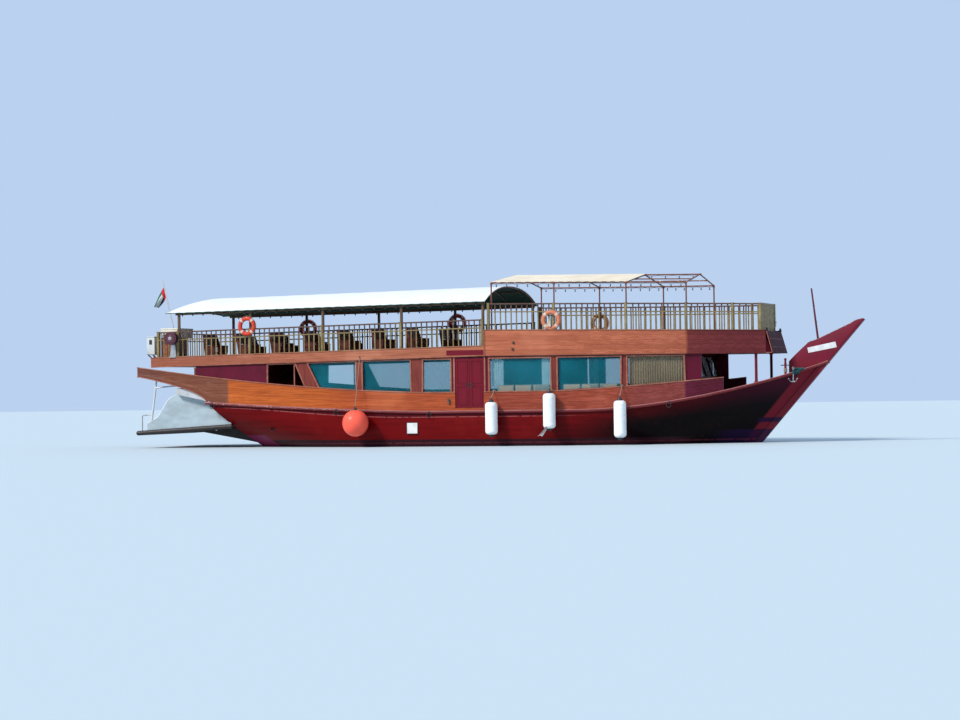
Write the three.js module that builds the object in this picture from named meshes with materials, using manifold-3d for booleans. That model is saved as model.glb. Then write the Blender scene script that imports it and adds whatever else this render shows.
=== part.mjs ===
// A two-deck wooden passenger dhow with its raked stem, quarter wings, glazed saloon, canopied aft deck,
// open pergola forward, swim platform, propeller and rudder.
// Millimetres. X runs forward, Y to port, Z up. The origin is on the waterline, amidships, on the centreline.

import * as THREE from 'three';
import { mergeVertices } from 'three/addons/utils/BufferGeometryUtils.js';
import Module from 'manifold-3d';

const wasm = await Module();
wasm.setup();

// Driving dimensions
const seat = 0.3;                // the gap left where one piece rests on another
const keelHalfWidth = 130;       // half the siding of keel and stem
const hullBottom = -1500;        // underside of the planked hull amidships
const keelUnderside = -1850;
const halfBeam = 3060;           // half breadth at the rub rail amidships
const transomTopX = -9580;
const transomFoot = [-7420, -600];
const stemAtWater = 10330;       // where the front of the stem cuts the waterline
const stemRake = 0.872;          // forward travel of the stem for each unit of height
const stemSiding = 300;          // stem timber that stands ahead of the planking
const stemHeadTop = 4240;
const bulwarkThickness = 80;
const floorHeight = 1150;        // floor of the saloon
const deckStep = 1200;           // where the raised forward deck starts
const aftDeckEnd = -11800;
const forwardDeckEnd = 10750;
const aftDeckThickness = 300;
const wallThickness = 60;
const glassThickness = 12;
const saloonAftEnd = -10000;
const saloonForeEnd = 8700;
const railHeight = 970;
const midRailHeight = 690;
const canopyRise = 570;
const pergolaRise = 1680;        // from forward deck to pergola eave
const ridgeRise = 340;           // from eave to ridge

const mix = (a, b, t) => a + (b - a) * t;
const clamp = (v, low, high) => Math.min(high, Math.max(low, v));

// Stations along X that every long piece shares, closer together towards the ends.
const foreEndTop = stemAtWater + stemRake * 2790 - stemSiding;
const stationCount = 18;
const evenStations = Array.from({ length: stationCount + 1 }, (_, i) => (
  mix(transomTopX, foreEndTop, (1 - Math.cos(Math.PI * i / stationCount)) / 2)
));
const namedStations = [deckStep, saloonForeEnd];
const sheerStations = [
  ...evenStations.filter((x) => namedStations.every((named) => Math.abs(x - named) > 300)),
  ...namedStations,
].sort((a, b) => a - b);
const wingStations = [-12450, -12100, -11600, -11100, -10700, -10300, -10000, -9750];
const allStations = [-12800, ...wingStations, ...sheerStations, 14200];

// A curve taken as straight from station to station, so that pieces with other ends still meet face to face.
function faceted(curve) {
  const knots = allStations.map((x) => [x, curve(x)]);
  return (x) => {
    const next = clamp(knots.findIndex(([at]) => at >= x), 1, knots.length - 1);
    const [[x0, v0], [x1, v1]] = [knots[next - 1], knots[next]];
    return mix(v0, v1, (x - x0) / (x1 - x0));
  };
}

// Lines of the boat: each gives a height or a half breadth at a place along X.
const sheerHeight = faceted((x) => {
  const aft = Math.max(0, (-800 - x) / 8800);
  const fore = Math.max(0, (x - 4500) / 8300);
  return 1250 + 420 * aft ** 1.4 + 1590 * fore ** 1.9;
});

const sheerBreadth = faceted((x) => {
  const aft = Math.max(0, (-1000 - x) / 11600);
  const fore = clamp((x - 500) / 12100, 0, 1);
  return Math.max(keelHalfWidth, halfBeam - 610 * aft ** 1.9 - halfBeam * fore ** 2.7);
});

const sillHeight = faceted((x) => {
  const aft = Math.max(0, (-500 - x) / 12000);
  const fore = Math.max(0, (x - 3800) / 4900);
  return 1880 + 1070 * aft ** 1.6 + 320 * fore ** 1.3;
});

const transomTop = [transomTopX, sheerHeight(transomTopX)];
const wingUnderside = faceted((x) => {
  const t = clamp((transomTopX - x) / 2800, 0, 1);
  return transomTop[1] + 950 * t ** 0.56;
});

const along = (x, x0, z0, x1, z1) => mix(z0, z1, (x - x0) / (x1 - x0));
const soffitHeight = (x) => (x < deckStep
  ? along(x, aftDeckEnd, 2970, deckStep, 3160)
  : along(x, deckStep, 3160, forwardDeckEnd, 3110));
const aftDeckTop = (x) => soffitHeight(x) + aftDeckThickness;
const forwardDeckTop = (x) => along(x, deckStep, 4010, forwardDeckEnd, 3840);
const stemFront = (z) => stemAtWater + stemRake * z;

// Solids
function toSolid(geometry) {
  const bare = geometry.clone();
  bare.deleteAttribute('normal');
  bare.deleteAttribute('uv');
  const welded = mergeVertices(bare, 1e-3);
  const vertProperties = new Float32Array(welded.attributes.position.array);
  const triVerts = new Uint32Array(welded.index.array);
  return new wasm.Manifold(new wasm.Mesh({ numProp: 3, vertProperties, triVerts }));
}

function toGeometry(solid) {
  const mesh = solid.getMesh();
  const geometry = new THREE.BufferGeometry();
  geometry.setAttribute('position', new THREE.BufferAttribute(new Float32Array(mesh.vertProperties), 3));
  geometry.setIndex(new THREE.BufferAttribute(new Uint32Array(mesh.triVerts), 1));
  return geometry;
}

// Joins solids, and drops the specks under a cubic centimetre that a skew cut can leave.
function join(solids) {
  const whole = solids.reduce((sum, piece) => sum.add(piece));
  const bodies = whole.decompose().filter((body) => body.volume() > 1000);
  return bodies.length === 1 ? bodies[0] : whole;
}
const cut = (solid, cutters) => cutters.reduce((whole, cutter) => whole.subtract(cutter), solid);

// A closed skin over loops of points. Every loop has the same even count, its first half facing its second,
// so each end is capped by a ladder of quads across it.
function loft(loops) {
  const count = loops[0].length;
  const triangles = [];
  for (let i = 0; i + 1 < loops.length; i += 1) {
    for (let k = 0; k < count; k += 1) {
      const a = i * count + k;
      const b = i * count + (k + 1) % count;
      triangles.push(a, b, a + count, b, b + count, a + count);
    }
  }
  const cap = (start, withLoop) => {
    for (let k = 0; k < count / 2 - 1; k += 1) {
      const quad = [k, k + 1, count - 2 - k, count - 1 - k].map((v) => v + start);
      const [p, q, r, t] = withLoop ? quad : [...quad].reverse();
      triangles.push(p, q, r, p, r, t);
    }
  };
  cap(0, false);
  cap((loops.length - 1) * count, true);
  const geometry = new THREE.BufferGeometry();
  geometry.setAttribute('position', new THREE.Float32BufferAttribute(loops.flat(2), 3));
  geometry.setIndex(triangles);
  return facingOut(geometry);
}

function facingOut(geometry) {
  const p = geometry.attributes.position;
  const index = geometry.index.array;
  const [a, b, c] = [new THREE.Vector3(), new THREE.Vector3(), new THREE.Vector3()];
  let volume = 0;
  for (let i = 0; i < index.length; i += 3) {
    a.fromBufferAttribute(p, index[i]);
    b.fromBufferAttribute(p, index[i + 1]);
    c.fromBufferAttribute(p, index[i + 2]);
    volume += a.dot(b.cross(c));
  }
  if (volume < 0) {
    for (let i = 0; i < index.length; i += 3) {
      [index[i + 1], index[i + 2]] = [index[i + 2], index[i + 1]];
    }
  }
  return toSolid(geometry);
}

// A strip that follows the boat's side: inner and outer half breadths, low and high edges.
function strip(xs, inner, outer, low, high, side = -1) {
  return loft(xs.map((x) => [
    [x, side * inner(x), low(x)],
    [x, side * outer(x), low(x)],
    [x, side * outer(x), high(x)],
    [x, side * inner(x), high(x)],
  ]));
}

// A slab across the whole boat.
const slab = (xs, breadth, low, high) => loft(xs.map((x) => [
  [x, -breadth(x), low(x)],
  [x, breadth(x), low(x)],
  [x, breadth(x), high(x)],
  [x, -breadth(x), high(x)],
]));

function box(x0, x1, y0, y1, z0, z1) {
  const geometry = new THREE.BoxGeometry(x1 - x0, y1 - y0, z1 - z0);
  geometry.translate((x0 + x1) / 2, (y0 + y1) / 2, (z0 + z1) / 2);
  return toSolid(geometry);
}

// A plate cut to an outline in the X-Z plane.
function plate(outline, y0, y1) {
  const shape = new THREE.Shape(outline.map(([x, z]) => new THREE.Vector2(x, z)));
  const geometry = new THREE.ExtrudeGeometry(shape, { depth: y1 - y0, bevelEnabled: false });
  geometry.rotateX(Math.PI / 2);
  geometry.translate(0, y1, 0);
  return toSolid(geometry);
}

// A round bar from one point to another.
function bar(from, to, radius, sides = 8, endRadius = radius) {
  const a = new THREE.Vector3(...from);
  const b = new THREE.Vector3(...to);
  const geometry = new THREE.CylinderGeometry(endRadius, radius, a.distanceTo(b), sides);
  const turn = new THREE.Quaternion().setFromUnitVectors(
    new THREE.Vector3(0, 1, 0),
    b.clone().sub(a).normalize(),
  );
  geometry.applyQuaternion(turn);
  geometry.translate((a.x + b.x) / 2, (a.y + b.y) / 2, (a.z + b.z) / 2);
  return toSolid(geometry);
}

// A pin's bore: wide enough for the pin's corners to pass the bore's flats.
const pinSides = 24;
const boreFor = (pinRadius) => (pinRadius + 0.35) / Math.cos(Math.PI / pinSides);

function spaced(from, to, count) {
  return Array.from({ length: count + 1 }, (_, i) => mix(from, to, i / count));
}

const part = new THREE.Group();

function addNode(name, solid, colour, roughness = 0.6, metalness = 0) {
  const material = new THREE.MeshStandardMaterial({ color: colour, roughness, metalness });
  const mesh = new THREE.Mesh(toGeometry(solid), material);
  mesh.name = name;
  part.add(mesh);
}

const sides = [['starboard', -1], ['port', 1]];

// Hull
const foreEndBottom = stemFront(hullBottom) - stemSiding;
const levels = [0, 0.07, 0.16, 0.28, 0.42, 0.58, 0.78, 1];

function sectionFullness(x) {
  const reach = x > -500 ? 13000 : 10500;
  return 1 - Math.abs((x + 500) / reach) ** 2.2;
}

function hullLoops(grow) {
  return sheerStations.map((station) => {
    const t = (station - transomTopX) / (foreEndTop - transomTopX);
    const endShift = mix(-2 * grow, 2 * grow, t);
    const topX = station + endShift;
    const bottomX = mix(transomFoot[0], foreEndBottom, t) + endShift;
    const rise = clamp(1 - t / 0.35, 0, 1);
    const bottomZ = hullBottom + 900 * (rise * rise * (3 - 2 * rise)) - grow;
    const topZ = sheerHeight(topX) + grow;
    const topY = sheerBreadth(topX) + grow;
    const full = sectionFullness(topX);
    const edge = levels.map((v) => {
      const belly = (1 - (1 - v) ** (1.1 + 2.1 * full)) ** (1.1 - 0.35 * full);
      return [mix(bottomX, topX, v), mix(keelHalfWidth + grow, topY, belly), mix(bottomZ, topZ, v)];
    });
    const port = [...edge].reverse();
    const starboard = edge.map(([x, y, z]) => [x, -y, z]);
    return [...port, ...starboard];
  });
}

const rudderX = -6900;
const stockRadius = 50;
const heelPinRadius = 30;
const shaftRadius = 45;
const engineRoom = { x0: -4900, x1: -2700, half: 750, z0: -850 };
const hullEnvelope = loft(hullLoops(0.8));
const helmFloorHeight = 1450;    // raised floor at the windscreen
const helmFloorStart = 7900;
const foredeckStart = 9000;
const foredeckEnd = 11250;
const foredeckDepth = 70;        // foredeck planking below the sheer
const between = (low, high) => [low, ...sheerStations.filter((x) => x > low + 50 && x < high - 50), high];
// The planking leans in towards both ends, so the wells draw in with it.
const wellSide = (x) => (
  sheerBreadth(x) - bulwarkThickness - 170 * clamp((x - 5500) / 2400, 0, 1) - 230 * clamp((-6500 - x) / 2400, 0, 1)
);
const well = slab(between(-8950, helmFloorStart), wellSide, () => floorHeight, () => 4000);
const helmWell = slab(between(helmFloorStart - 10, foredeckStart), (x) => wellSide(x) - 10, () => helmFloorHeight, () => 4000);
const foredeckWell = slab(
  between(foredeckStart - 10, foredeckEnd),
  (x) => sheerBreadth(x) - bulwarkThickness,
  (x) => sheerHeight(x) - foredeckDepth,
  () => 4000,
);
const hull = cut(loft(hullLoops(0)), [
  well,
  helmWell,
  foredeckWell,
  box(engineRoom.x0, engineRoom.x1, -engineRoom.half, engineRoom.half, engineRoom.z0, floorHeight + 10),
  bar([rudderX, 0, -1200], [rudderX, 0, -150], boreFor(stockRadius), pinSides),
]);
addNode('hull', hull, 0x7a1418, 0.55);

// Keel, deadwood, stem and stem head in one backbone
const shaftHeight = -1200;
const sternpostX = -5500;
const backboneOutline = [
  [-7150, keelUnderside], [8200, keelUnderside], [8550, keelUnderside + 50], [8850, keelUnderside + 230],
  [stemFront(-1450), -1450], [stemFront(stemHeadTop - 40), stemHeadTop - 40], [stemFront(stemHeadTop) - 60, stemHeadTop],
  [13860, 4225], [13700, 4175], [13470, 4060], [13020, 3860], [12350, 3560], [12070, 3470], [11900, 3330],
  [11600, 3060], [11330, 2800], [11330, 2100], [8300, -900], [sternpostX, -500],
  [sternpostX, keelUnderside + 110], [-7150, keelUnderside + 110],
];
const backbone = cut(plate(backboneOutline, -keelHalfWidth, keelHalfWidth), [
  hullEnvelope,
  bar([-6200, 0, shaftHeight], [-4600, 0, shaftHeight], boreFor(shaftRadius), pinSides),
  bar([rudderX, 0, keelUnderside + 40], [rudderX, 0, keelUnderside + 300], boreFor(heelPinRadius), pinSides),
]);
addNode('keel_and_stem', backbone, 0x7d1a1d, 0.5);

// Rub rails along the sheer
const railStations = [...sheerStations, foreEndTop + 260];
for (const [name, side] of sides) {
  addNode(`rub_rail_${name}`, strip(
    railStations,
    (x) => sheerBreadth(x) + 2 * seat,
    (x) => sheerBreadth(x) + 75,
    (x) => sheerHeight(x) - 95,
    sheerHeight,
    side,
  ), 0xc06a62, 0.5);
}

const railOuter = (x) => sheerBreadth(x) + 75;
// How far out the centre of an upright prism of so many sides stands when it leans on the rub rail
function leaningOut(x, radius, sides_) {
  const step = 2 * Math.PI / sides_;
  const halfWidth = (across) => {
    const at = Math.floor(Math.asin(clamp(across / radius, -1, 1)) / step + 1e-6);
    const [x0, x1] = [radius * Math.sin(at * step), radius * Math.sin((at + 1) * step)];
    return mix(radius * Math.cos(at * step), radius * Math.cos((at + 1) * step), (across - x0) / (x1 - x0));
  };
  const across = spaced(-0.95 * radius, 0.95 * radius, 80);
  return Math.max(...across.map((d) => railOuter(x + d) + halfWidth(d))) + seat;
}

// Varnished plank bands: from the rub rail to the window sills, swept out aft into the quarter wings
const doorway = { x0: 120, x1: 1180, z0: 1345, z1: 3090 };
const bandOuter = (x) => sheerBreadth(x) + 10;
const bandInner = (x) => sheerBreadth(x) - wallThickness;
const bandBottom = (x) => (x < transomTopX ? wingUnderside(x) : sheerHeight(x) + seat);
const bandStations = [...wingStations, ...sheerStations.filter((x) => x < 9300), 9400];
for (const [name, side] of sides) {
  const band = strip(bandStations, bandInner, bandOuter, bandBottom, sillHeight, side);
  const doorCut = box(doorway.x0, doorway.x1, side > 0 ? 2600 : -3400, side > 0 ? 3400 : -2600, doorway.z0, 3000);
  addNode(`plank_band_${name}`, cut(band, [doorCut]), 0xa4542a, 0.4);
}

// Hinges of the side doors: each has a middle knuckle on the leaf, between two on the jamb
const leafGap = 8;
const leafThickness = 45;
const doorMiddle = (doorway.x0 + doorway.x1) / 2;
const knuckleRadius = 12;
const knuckleHeight = 60;
const hingeHeights = [sillHeight(doorMiddle) + 150, doorway.z1 - 250];
const hingeRows = [[doorway.x0, 1], [doorway.x1, -1]].map(([jamb, into]) => (
  { jamb, into, x: jamb + into * (leafGap + knuckleRadius) }
));
const doorInner = () => sheerBreadth(doorMiddle) - 20 - wallThickness + 10;
const hingeY = doorInner() - knuckleRadius - 0.5;
const knuckle = (x, side, z0, z1) => bar([x, side * hingeY, z0], [x, side * hingeY, z1], knuckleRadius, 12);
function doorHinges(side, onLeaf) {
  return hingeRows.flatMap(({ jamb, into, x }) => hingeHeights.flatMap((z) => {
    if (onLeaf) {
      const [w0, w1] = [side * hingeY, side * (doorInner() + 3)].sort((a, b) => a - b);
      const [z0, z1] = [z - knuckleHeight / 2, z + knuckleHeight / 2];
      return [join([knuckle(x, side, z0, z1), box(x - 6, x + 6, w0, w1, z0, z1)])];
    }
    const [x0, x1] = [jamb - into * 60, x].sort((a, b) => a - b);
    const [y0, y1] = [side * (hingeY - 6), side * (hingeY + 6)].sort((a, b) => a - b);
    return [-1, 1].flatMap((end) => {
      const [z0, z1] = [z + end * (knuckleHeight / 2 + seat), z + end * knuckleHeight].sort((a, b) => a - b);
      return [knuckle(x, side, z0, z1), box(x0, x1, y0, y1, z0, z1)];
    });
  }));
}

// Saloon side walls with the windows and doorways cut
const wallOuter = (x) => sheerBreadth(x) - 20;
const wallInner = (x) => sheerBreadth(x) - 20 - wallThickness;
const wallTop = (x) => soffitHeight(x) - seat;
const wallBottom = (x) => sillHeight(x) + seat;
const wallStations = [saloonAftEnd, ...sheerStations.filter((x) => x > saloonAftEnd + 100 && x <= saloonForeEnd)];
// Columns: foot of the aft edge, head of the aft edge, head of the fore edge, foot of the fore edge
const windows = [
  [-7070, -7060, -6000, -5640],
  [-5030, -5480, -3640, -3640],
  [-3350, -3350, -1570, -1550],
  [-1080, -1060, -60, -60],
  [1400, 1400, 3580, 3580],
  [3850, 3850, 6020, 6000],
  [6260, 6260, 8110, 8140],
];
const windowHead = (x) => Math.min(3040, soffitHeight(x) - 70);
const sillFrame = 30;
function windowCutter([footAft, headAft, headFore, footFore], side) {
  const outline = [
    [footAft, sillHeight(footAft) + sillFrame], [footFore, sillHeight(footFore) + sillFrame],
    [headFore, windowHead(headFore)], [headAft, windowHead(headAft)],
  ];
  return plate(outline, side > 0 ? 2000 : -3400, side > 0 ? 3400 : -2000);
}
for (const [name, side] of sides) {
  const doorCut = box(doorway.x0, doorway.x1, side > 0 ? 2600 : -3400, side > 0 ? 3400 : -2600, 1000, doorway.z1);
  const wall = cut(
    strip(wallStations, wallInner, wallOuter, wallBottom, wallTop, side),
    [doorCut, ...windows.map((row) => windowCutter(row, side))],
  );
  addNode(`saloon_wall_${name}`, join([wall, ...doorHinges(side, false)]), 0x8a3c22, 0.45);
}

// Glazing: one run of panes behind the pillars, joined over the doorway
const glassOuter = (x) => wallInner(x) - 2 * seat;
const glassInner = (x) => wallInner(x) - 2 * seat - glassThickness;
const glassStations = [-5600, ...sheerStations.filter((x) => x > -5500 && x < 8200), 8250];
for (const [name, side] of sides) {
  const pane = strip(glassStations, glassInner, glassOuter, (x) => sillHeight(x) + 10, (x) => soffitHeight(x) - 25, side);
  const gap = box(doorway.x0 - 120, doorway.x1 + 120, side > 0 ? 2600 : -3400, side > 0 ? 3400 : -2600, 0, doorway.z1 + 10);
  addNode(`glazing_${name}`, cut(pane, [gap]), 0x5c8a92, 0.1);
}

// Bulkhead and windscreen across the ends of the saloon
const bulkheadX = -8900;
const bulkheadHalf = wallInner(bulkheadX) + 6;
const outboard = (x0, x1, y, z1) => sides.map(([, side]) => {
  const [y0, y1] = [side * y, side * 3500].sort((a, b) => a - b);
  return box(x0, x1, y0, y1, 0, z1);
});
const bulkhead = cut(box(
  bulkheadX, bulkheadX + wallThickness, -bulkheadHalf + 10, bulkheadHalf - 10,
  floorHeight + seat, soffitHeight(bulkheadX) - 4 * seat,
), [
  box(bulkheadX - 200, bulkheadX + 300, -450, 450, floorHeight + 100, 2950),
  ...outboard(bulkheadX - 200, bulkheadX + 200, wellSide(bulkheadX) - 6, sheerHeight(bulkheadX) + 60),
]);
addNode('saloon_bulkhead_aft', bulkhead, 0x6b1430, 0.5);

const screenHalf = sheerBreadth(saloonForeEnd) - 20 - wallThickness - 30;
function screenSolid(z0, z1, half, thickness, offset) {
  const foot = saloonForeEnd + 120 + offset;
  const at = (z) => foot - 0.35 * (z - 2300);
  return plate([[at(z0), z0], [at(z0) + thickness, z0], [at(z1) + thickness, z1], [at(z1), z1]], -half, half);
}
const paneCount = 4;
const paneWidth = 2 * (screenHalf - 70) / paneCount;
const screenCuts = Array.from({ length: paneCount }, (_, i) => {
  const low = -screenHalf + 70 + i * paneWidth + 30;
  const high = low + paneWidth - 60;
  return box(saloonForeEnd - 800, saloonForeEnd + 900, low, high, 2330, 3010);
});
const screenTop = soffitHeight(saloonForeEnd) - 3 * seat;
const windscreen = cut(screenSolid(helmFloorHeight + seat, screenTop, screenHalf, 60, -460), [
  ...screenCuts,
  ...outboard(saloonForeEnd - 800, saloonForeEnd + 900, wellSide(saloonForeEnd) - 40, sheerHeight(saloonForeEnd) + 60),
]);
addNode('windscreen_frame', windscreen, 0x4a1420, 0.5);
addNode('windscreen_glass', screenSolid(2290, 3050, screenHalf - 40, glassThickness, -460 - glassThickness - 2 * seat), 0x5c8a92, 0.1);

// Two leaves in each side doorway, hung on the outer jambs and opening inwards
for (const [name, side] of sides) {
  const [y0, y1] = [side * doorInner(), side * (doorInner() + leafThickness)].sort((a, b) => a - b);
  const foot = doorway.z0 + 10;
  const head = doorway.z1 - 10;
  const [aftHinges, foreHinges] = [doorHinges(side, true).slice(0, 2), doorHinges(side, true).slice(2)];
  const aftLeaf = box(doorway.x0 + leafGap, doorMiddle - leafGap / 2, y0, y1, foot, head);
  const foreLeaf = box(doorMiddle + leafGap / 2, doorway.x1 - leafGap, y0, y1, foot, head);
  addNode(`door_${name}_aft`, join([aftLeaf, ...aftHinges]), 0x7a1030, 0.4);
  addNode(`door_${name}_fore`, join([foreLeaf, ...foreHinges]), 0x7a1030, 0.4);
}

// Upper decks
const deckBreadth = (x) => sheerBreadth(x) - 20;
const aftDeckStations = [
  aftDeckEnd, ...wingStations.filter((x) => x > aftDeckEnd), ...sheerStations.filter((x) => x < deckStep - 100),
  deckStep - 2,
];
addNode('aft_deck', slab(aftDeckStations, deckBreadth, soffitHeight, aftDeckTop), 0x8d5a3a, 0.7);

const foreDeckStations = [
  deckStep + 2, ...sheerStations.filter((x) => x > deckStep + 100 && x < forwardDeckEnd - 30), forwardDeckEnd,
];
addNode('forward_deck', slab(foreDeckStations, deckBreadth, soffitHeight, forwardDeckTop), 0x8d5a3a, 0.7);

const fasciaInner = (x) => deckBreadth(x) + 2 * seat;
const fasciaOuter = (x) => deckBreadth(x) + 60;
const aftFascia = join([
  ...sides.map(([, side]) => strip(
    [aftDeckEnd - 50, ...aftDeckStations.slice(1)],
    fasciaInner,
    fasciaOuter,
    soffitHeight,
    (x) => aftDeckTop(x) + 20,
    side,
  )),
  box(
    aftDeckEnd - 50, aftDeckEnd - seat, -fasciaOuter(aftDeckEnd - 50) + 5, fasciaOuter(aftDeckEnd - 50) - 5,
    soffitHeight(aftDeckEnd) + 1, aftDeckTop(aftDeckEnd) + 19,
  ),
]);
addNode('aft_fascia', aftFascia, 0xa85a35, 0.45);

const visorHalf = fasciaOuter(forwardDeckEnd + 20);
const visorTop = forwardDeckTop(forwardDeckEnd) + 10;
const visor = plate([
  [forwardDeckEnd + seat, visorTop], [forwardDeckEnd + 60, visorTop],
  [forwardDeckEnd + 280, soffitHeight(forwardDeckEnd) - 20], [forwardDeckEnd + 230, soffitHeight(forwardDeckEnd) - 20],
  [forwardDeckEnd + seat, 3700],
], -visorHalf, visorHalf);
const foreFascia = join([
  ...sides.map(([, side]) => strip(
    [deckStep, ...foreDeckStations.slice(1), forwardDeckEnd + 20],
    fasciaInner,
    fasciaOuter,
    soffitHeight,
    (x) => forwardDeckTop(x) + 20,
    side,
  )),
  ...sides.map(([, side]) => plate([
    [forwardDeckEnd, soffitHeight(forwardDeckEnd) - 20], [forwardDeckEnd + 240, soffitHeight(forwardDeckEnd) - 20],
    [forwardDeckEnd + 40, visorTop - 10], [forwardDeckEnd, visorTop - 10],
  ], side > 0 ? visorHalf - 59 : -visorHalf, side > 0 ? visorHalf : -visorHalf + 59)),
  visor,
]);
addNode('forward_fascia', foreFascia, 0x9c4426, 0.45);

// Posts that carry the overhang of the forward deck
const forePostX = 10430;
for (const [name, side] of sides) {
  const y = side * (sheerBreadth(forePostX) - 70);
  const post = bar([forePostX, y, sheerHeight(forePostX) - 25], [forePostX, y, soffitHeight(forePostX) - 2 * seat], 50, 8);
  addNode(`foredeck_post_${name}`, join([cut(post, [hullEnvelope])]), 0x7a1c22, 0.5);
}

// Guard rails: base, middle and top rails on posts; the pickets stand between them
const railWidth = 60;
const railPostSize = 90;
function railRun(xs, deckTop, side, inset) {
  const y = (x) => sheerBreadth(x) - inset;
  const rail = (z0, z1) => strip(
    xs,
    (x) => y(x) - railWidth / 2,
    (x) => y(x) + railWidth / 2,
    (x) => deckTop(x) + z0,
    (x) => deckTop(x) + z1,
    side,
  );
  return [rail(seat, 60), rail(midRailHeight - 40, midRailHeight), rail(railHeight - 50, railHeight)];
}
function railPost(x, deckTop, side, inset, height, size = railPostSize) {
  const y = side * (sheerBreadth(x) - inset);
  return box(x - size / 2, x + size / 2, y - size / 2, y + size / 2, deckTop(x) + 5, deckTop(x) + height);
}

const canopyPostX = [-10770, -7830, -4950, -1930, 1110];
const railInset = 110;
const aftRailStations = [
  -11650, ...wingStations.filter((x) => x > -11650), ...sheerStations.filter((x) => x < 1000), 1120,
];
const aftRailPosts = [-11605, ...canopyPostX];
const sternRailY = sheerBreadth(-11650) - railInset;
const sternRail = (z0, z1) => box(-11635, -11575, -sternRailY, sternRailY, aftDeckTop(-11600) + z0, aftDeckTop(-11600) + z1);
const aftRail = join([
  ...sides.flatMap(([, side]) => [
    ...railRun(aftRailStations, aftDeckTop, side, railInset),
    ...aftRailPosts.map((x) => railPost(x, aftDeckTop, side, railInset, railHeight - 5)),
  ]),
  sternRail(5, 60), sternRail(midRailHeight - 35, midRailHeight - 5), sternRail(railHeight - 45, railHeight - 5),
]);
addNode('aft_guard_rail', aftRail, 0x6f6a44, 0.6);

const foreRailEnd = 10620;
const foreRailStations = [1300, ...sheerStations.filter((x) => x > 1400 && x < 10500), foreRailEnd];
const foreRailPosts = [1345, 3700, 6200, 8200, 9700, foreRailEnd - 50];
const frontRailY = sheerBreadth(foreRailEnd) - railInset;
const frontBoards = box(
  foreRailEnd - 75, foreRailEnd - 25, -frontRailY, frontRailY,
  forwardDeckTop(foreRailEnd) + 7, forwardDeckTop(foreRailEnd) + railHeight - 12,
);
const foreRail = join([
  ...sides.flatMap(([, side]) => [
    ...railRun(foreRailStations, forwardDeckTop, side, railInset),
    ...foreRailPosts.map((x) => railPost(x, forwardDeckTop, side, railInset, railHeight - 5)),
  ]),
  frontBoards,
]);
addNode('forward_guard_rail', foreRail, 0x6f6a44, 0.6);

// Canopy over the aft deck: a hipped, arched shell on posts and eave beams
const canopyAft = -11260;
const canopyFore = 1230;
const canopyEave = (x) => along(x, canopyAft, 4930, canopyFore, 5050);
const canopyHalf = (x) => sheerBreadth(x) - 40;
const canopyCrown = (x) => {
  const t = clamp((x - canopyAft) / 1800, 0, 1);
  return canopyRise * (0.12 + 0.88 * Math.sin(t * Math.PI / 2) ** 0.7) * along(x, canopyAft, 0.97, canopyFore, 1.07);
};
const canopyStations = [
  canopyAft, -11100, -10700, -10300, -9750, -9200, ...sheerStations.filter((x) => x > -9000 && x < 900), canopyFore,
];
const archShares = spaced(-1, 1, 12);
const canopyThickness = 30;
const archHeight = (share) => (1 - Math.abs(share) ** 2.4);
const canopyShell = loft(canopyStations.map((x) => {
  const outer = archShares.map((s) => [x, s * canopyHalf(x), canopyEave(x) + canopyCrown(x) * archHeight(s)]);
  const inner = [...archShares].reverse().map((s) => [
    x, s * (canopyHalf(x) - canopyThickness), canopyEave(x) - canopyThickness + canopyCrown(x) * archHeight(s),
  ]);
  return [...outer, ...inner];
}));
addNode('canopy', canopyShell, 0xf2f2ee, 0.7);

// The eave beams stand inside the rail, and their outer top corners bear on the underside of the shell.
const canopyUnderside = canopyShell.translate([0, 0, -seat]);
const beamInset = railInset + 106;
for (const [name, side] of sides) {
  const beamStations = canopyStations.filter((x) => x > -10900 && x < 1180);
  const beamOuter = (x) => sheerBreadth(x) - beamInset + 45;
  const edgeShare = (x) => 1 - (canopyHalf(x) - canopyThickness - beamOuter(x)) / canopyHalf(x);
  const lastRise = archHeight(archShares[1]) / (1 - archShares.at(-2));
  const beamTop = (x) => canopyEave(x) - canopyThickness + canopyCrown(x) * lastRise * (1 - edgeShare(x)) + 6;
  const eaveBeam = strip(
    [-10900, ...beamStations, 1180],
    (x) => beamOuter(x) - 90,
    beamOuter,
    (x) => beamTop(x) - 110,
    beamTop,
    side,
  );
  const posts = canopyPostX.map((x) => {
    const y = side * (sheerBreadth(x) - beamInset);
    const foot = Math.max(aftDeckTop(x - 45), aftDeckTop(x + 45)) + seat;
    return box(x - 45, x + 45, y - 45, y + 45, foot, beamTop(x) - 20);
  });
  addNode(`canopy_frame_${name}`, join([cut(join([eaveBeam, ...posts]), [canopyUnderside])]), 0x5a4a30, 0.6);
}

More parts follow.
